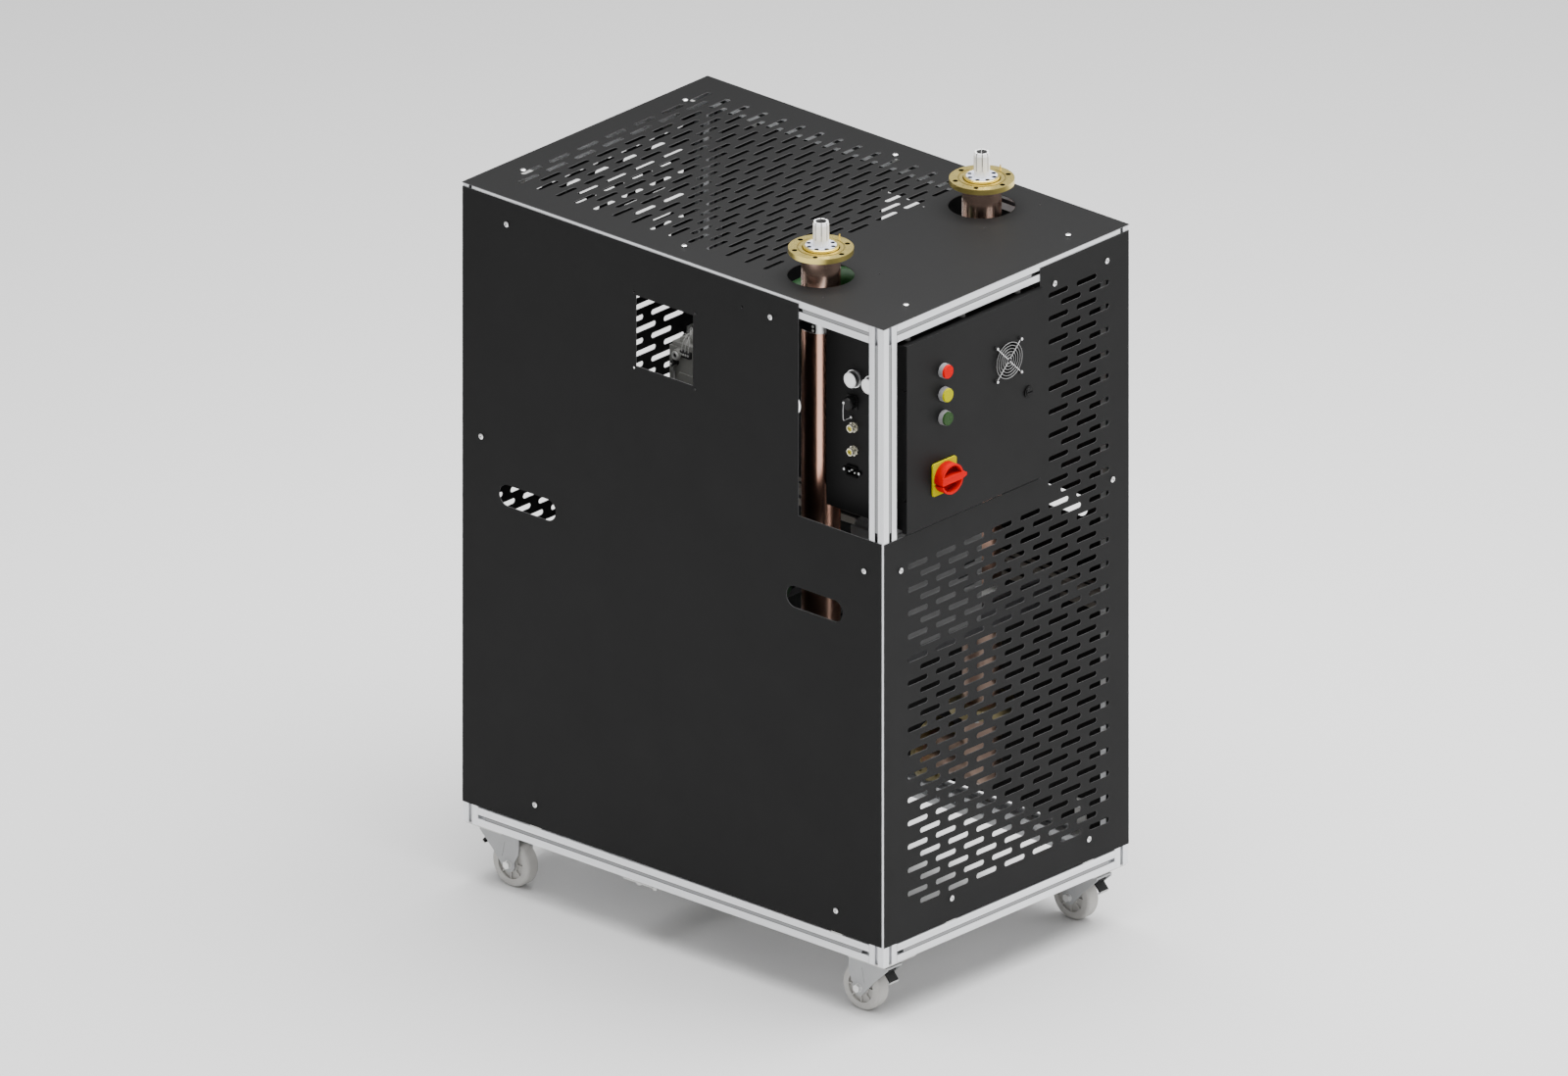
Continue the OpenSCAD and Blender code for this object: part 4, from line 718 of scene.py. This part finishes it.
# Door: a folded pan hinged on two pins at its left edge, with a foam gasket behind it, a
# quarter-turn lock, three push buttons in bright collars, the isolator and the fan.
def lens(dark, light):
    """A coloured cap of clear plastic, brighter where its inside is frosted."""

    def paint(s):
        frost = s.grain(260, detail=2.0)
        return {"Base Color": frost.between(dark, light), "Roughness": 0.22 + frost * 0.1}

    return paint


foam = rubber((0.010, 0.010, 0.010), (0.018, 0.018, 0.018), 0.75)
lock_plastic = moulded((0.002, 0.002, 0.002), (0.003, 0.003, 0.003))
satin = moulded((0.22, 0.22, 0.225), (0.27, 0.27, 0.275), 0.4)
plate_yellow = moulded((0.43, 0.40, 0.0), (0.48, 0.445, 0.0), 0.5)
dress(box_coat, "box_door")
dress(finish("gasket_foam", foam), "door_seal")
dress(finish("lock_black", lock_plastic, Specular_IOR_Level=0.14), "cam_lock")
dress(black_plastic, "fan_housing", "fan_rotor")
dress(finish("collar_satin", satin), "button_collars")
dress(finish("isolator_yellow", plate_yellow, Specular_IOR_Level=0.0), "switch_plate")
for colour, dark, light, gloss in (
    ("red", (0.56, 0.0, 0.001), (0.63, 0.0, 0.002), 0.02),
    ("yellow", (0.39, 0.375, 0.0), (0.44, 0.42, 0.0), 0.0),
    ("green", (0.024, 0.058, 0.018), (0.03, 0.07, 0.022), 0.06),
):
    dress(finish("cap_" + colour, lens(dark, light), Specular_IOR_Level=gloss), "button_" + colour)


def knob_red(s):
    """Red moulding, with painted shade deepening behind the knob's rim."""
    base = moulded((0.56, 0.0, 0.001), (0.62, 0.0, 0.002), 0.45)(s)
    rim_back, grip_foot = 0.006, 0.014
    deep = s.part(1).spread(knob_front + rim_back, knob_front + grip_foot)
    return {**base, "Base Color": s.mix(deep, base["Base Color"], (0.42, 0.0, 0.0))}


knob_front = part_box("switch_knob")[0].y
dress(finish("isolator_red", knob_red, Specular_IOR_Level=0.03), "switch_knob")


def guard_wire(s):
    """Chromed wire: the rings lie in the shade of the four rods, and the feet are dark."""
    base = silver(s)
    rod_half, foot_from = 0.0016, 0.0655
    aside, rise = (s.math("ABSOLUTE", s.part(axis) - fan_hub[axis]) for axis in (0, 2))
    rod = s.inside(aside - rise, -rod_half, rod_half)
    foot = s.math("GREATER_THAN", aside + rise, foot_from)
    tone = s.mix(rod, (0.22, 0.22, 0.22), (0.75, 0.75, 0.75))
    return {**base, "Base Color": s.mix(foot, tone, (0.03, 0.03, 0.03))}


def screw_tone(s):
    """Bright heads, with painted shade below the rim."""
    base = silver(s)
    rim_deep = 0.0011
    below = s.math("GREATER_THAN", s.part(1), screw_face + rim_deep)
    return {**base, "Base Color": s.mix(below, base["Base Color"], (0.03, 0.03, 0.03))}


low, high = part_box("fan_guard")
fan_hub, screw_face = (low + high) / 2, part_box("fan_screws")[0].y
dress(finish("chromed_wire", guard_wire, Metallic=0.35), "fan_guard")
dress(finish("chromed_head", screw_tone, Metallic=0.2), "fan_screws")


# Covers: steel sheets, cut and slotted by laser and powder coated black, held by bright
# button-head screws in angle tabs. Grey plastic strips fill the slots that stay in sight.
def sheet(axis):
    """Powder coat, painted lighter grey on the cut edges, the faces that don't look along axis, as a painted
    highlight where they catch light.
    """
    coat = powder(*coat_tones)

    def paint(s):
        base = coat(s)
        facing = s.node("SeparateXYZ", {}, {0: s.node("TexCoord", {}, {}, "Normal")}, axis)
        edge = s.math("LESS_THAN", s.math("ABSOLUTE", facing), 0.5)
        # painted highlight: the cut edges are painted lighter grey where they catch light
        return {**base, "Base Color": s.mix(edge, base["Base Color"], (0.10, 0.10, 0.102))}

    return paint


for axis, covers in enumerate((("cover_left", "cover_right"), ("cover_front", "cover_rear"), ("cover_top",))):
    dress(finish("cover_coat_%d" % axis, sheet(axis), Specular_IOR_Level=0.175), *covers)
dress(zinc_plate, "cover_tabs")


def button_head(s):
    """Bright heads, with painted shade where the rim of each head turns down to its cover and in the socket.
    """
    base = silver(s)
    rim_from, rim_to = -0.0001, 0.0016
    shade = 0
    for axis, low, high in skins:
        off = s.math("MAXIMUM", low - s.part(axis), s.part(axis) - high)
        shade = s.inside(off, rim_from, rim_to) + shade
    dark = s.math("MINIMUM", shade, 0.85)
    return {**base, "Base Color": s.mix(dark, base["Base Color"], (0.02, 0.02, 0.02))}


no_cover = -9.0
skins = (
    (0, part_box("cover_left")[0].x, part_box("cover_right")[1].x),
    (1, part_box("cover_front")[0].y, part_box("cover_rear")[1].y),
    (2, no_cover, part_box("cover_top")[1].z),
)
dress(finish("button_heads", button_head, Metallic=1.0), "cover_screws")


def strip_grey(s):
    """Grey plastic with painted shade along both edges, where the strip dips into the slot's mouth."""
    base = moulded((0.23, 0.235, 0.24), (0.27, 0.275, 0.28))(s)
    edge_from, edge_to = 0.0027, 0.0045
    shade = 0
    for axis, middle in slot_middles:
        off = s.math("ABSOLUTE", s.part(axis) - middle)
        shade = s.inside(off, edge_from, edge_to) + shade
    dark = s.math("MINIMUM", shade, 1.0)
    return {**base, "Base Color": s.mix(dark, base["Base Color"], (0.09, 0.09, 0.09))}


rail_low, rail_high = (sum(c.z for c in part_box(n)) / 2 for n in ("bottom_side_rails", "top_side_rails"))
low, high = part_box("posts_front")
half_profile = 0.020
slot_middles = ((2, rail_low), (2, rail_high), (0, low.x + half_profile), (1, (low.y + high.y) / 2))
dress(finish("strip_grey", strip_grey), "slot_strips")


# Stage: a matt pale floor and the lights of a small studio, namely a soft one overhead, one
# from the right, a weak one from the left and a bright surround.
def floor_paint(s):
    return {"Base Color": s.grain(3, detail=2.0).between((0.74, 0.74, 0.74), (0.75, 0.75, 0.75))}


reach = 20
floor_corners = [(-reach, -reach, 0), (reach, -reach, 0), (reach, reach, 0), (-reach, reach, 0)]
floor_mesh = bpy.data.meshes.new("floor")
floor_mesh.from_pydata(floor_corners, [], [(0, 1, 2, 3)])
floor = bpy.data.objects.new("floor", floor_mesh)
floor_mesh.materials.append(finish("floor_matt", floor_paint, Roughness=0.9))
bpy.context.scene.collection.objects.link(floor)

low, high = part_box("cover_top")
foot = Vector(((low.x + high.x) / 2, (low.y + high.y) / 2, 0))
aim_height = 0.8
aim = foot + Vector((0, 0, aim_height))
for name, spot, width, power in (
    ("overhead", (0.3, -0.4, 5.5), 5.6, 960),
    ("right", (4.5, -3.5, 3.4), 8.0, 240),
    ("left", (-4.5, -2.0, 2.4), 7.5, 65),
):
    light = bpy.data.lights.new(name, "AREA")
    light.shape, light.size, light.energy = "SQUARE", width, power
    lamp = bpy.data.objects.new(name, light)
    lamp.location = spot
    lamp.rotation_euler = (aim - Vector(spot)).to_track_quat("-Z", "Y").to_euler()
    bpy.context.scene.collection.objects.link(lamp)

surround_strength = 0.5
world = bpy.data.worlds.new("surround")
bpy.context.scene.world = world
world.use_nodes = True
background = world.node_tree.nodes["Background"]
background.inputs["Color"].default_value = (1, 1, 1, 1)
background.inputs["Strength"].default_value = surround_strength

# Camera: a lens without perspective, held level, that looks down on the front left corner.
# The cabinet stands near the middle of its frame, with floor all round it.
azimuth, elevation = math.radians(-47.911), math.radians(22.94)
view_width, aside, above, distance, sight = 3.136, -0.0233, 0.7252, 8, 60
back = Vector((math.sin(azimuth) * math.cos(elevation), -math.cos(azimuth) * math.cos(elevation),
               math.sin(elevation)))
right = Vector((math.cos(azimuth), math.sin(azimuth), 0))
up = back.cross(right)
camera = bpy.data.objects.new("camera", bpy.data.cameras.new("camera"))
camera.data.type = "ORTHO"
camera.data.ortho_scale = view_width
camera.data.clip_end = sight
camera.location = foot + right * aside + up * above + back * distance
camera.rotation_euler = back.to_track_quat("Z", "Y").to_euler()
bpy.context.scene.collection.objects.link(camera)
bpy.context.scene.camera = camera
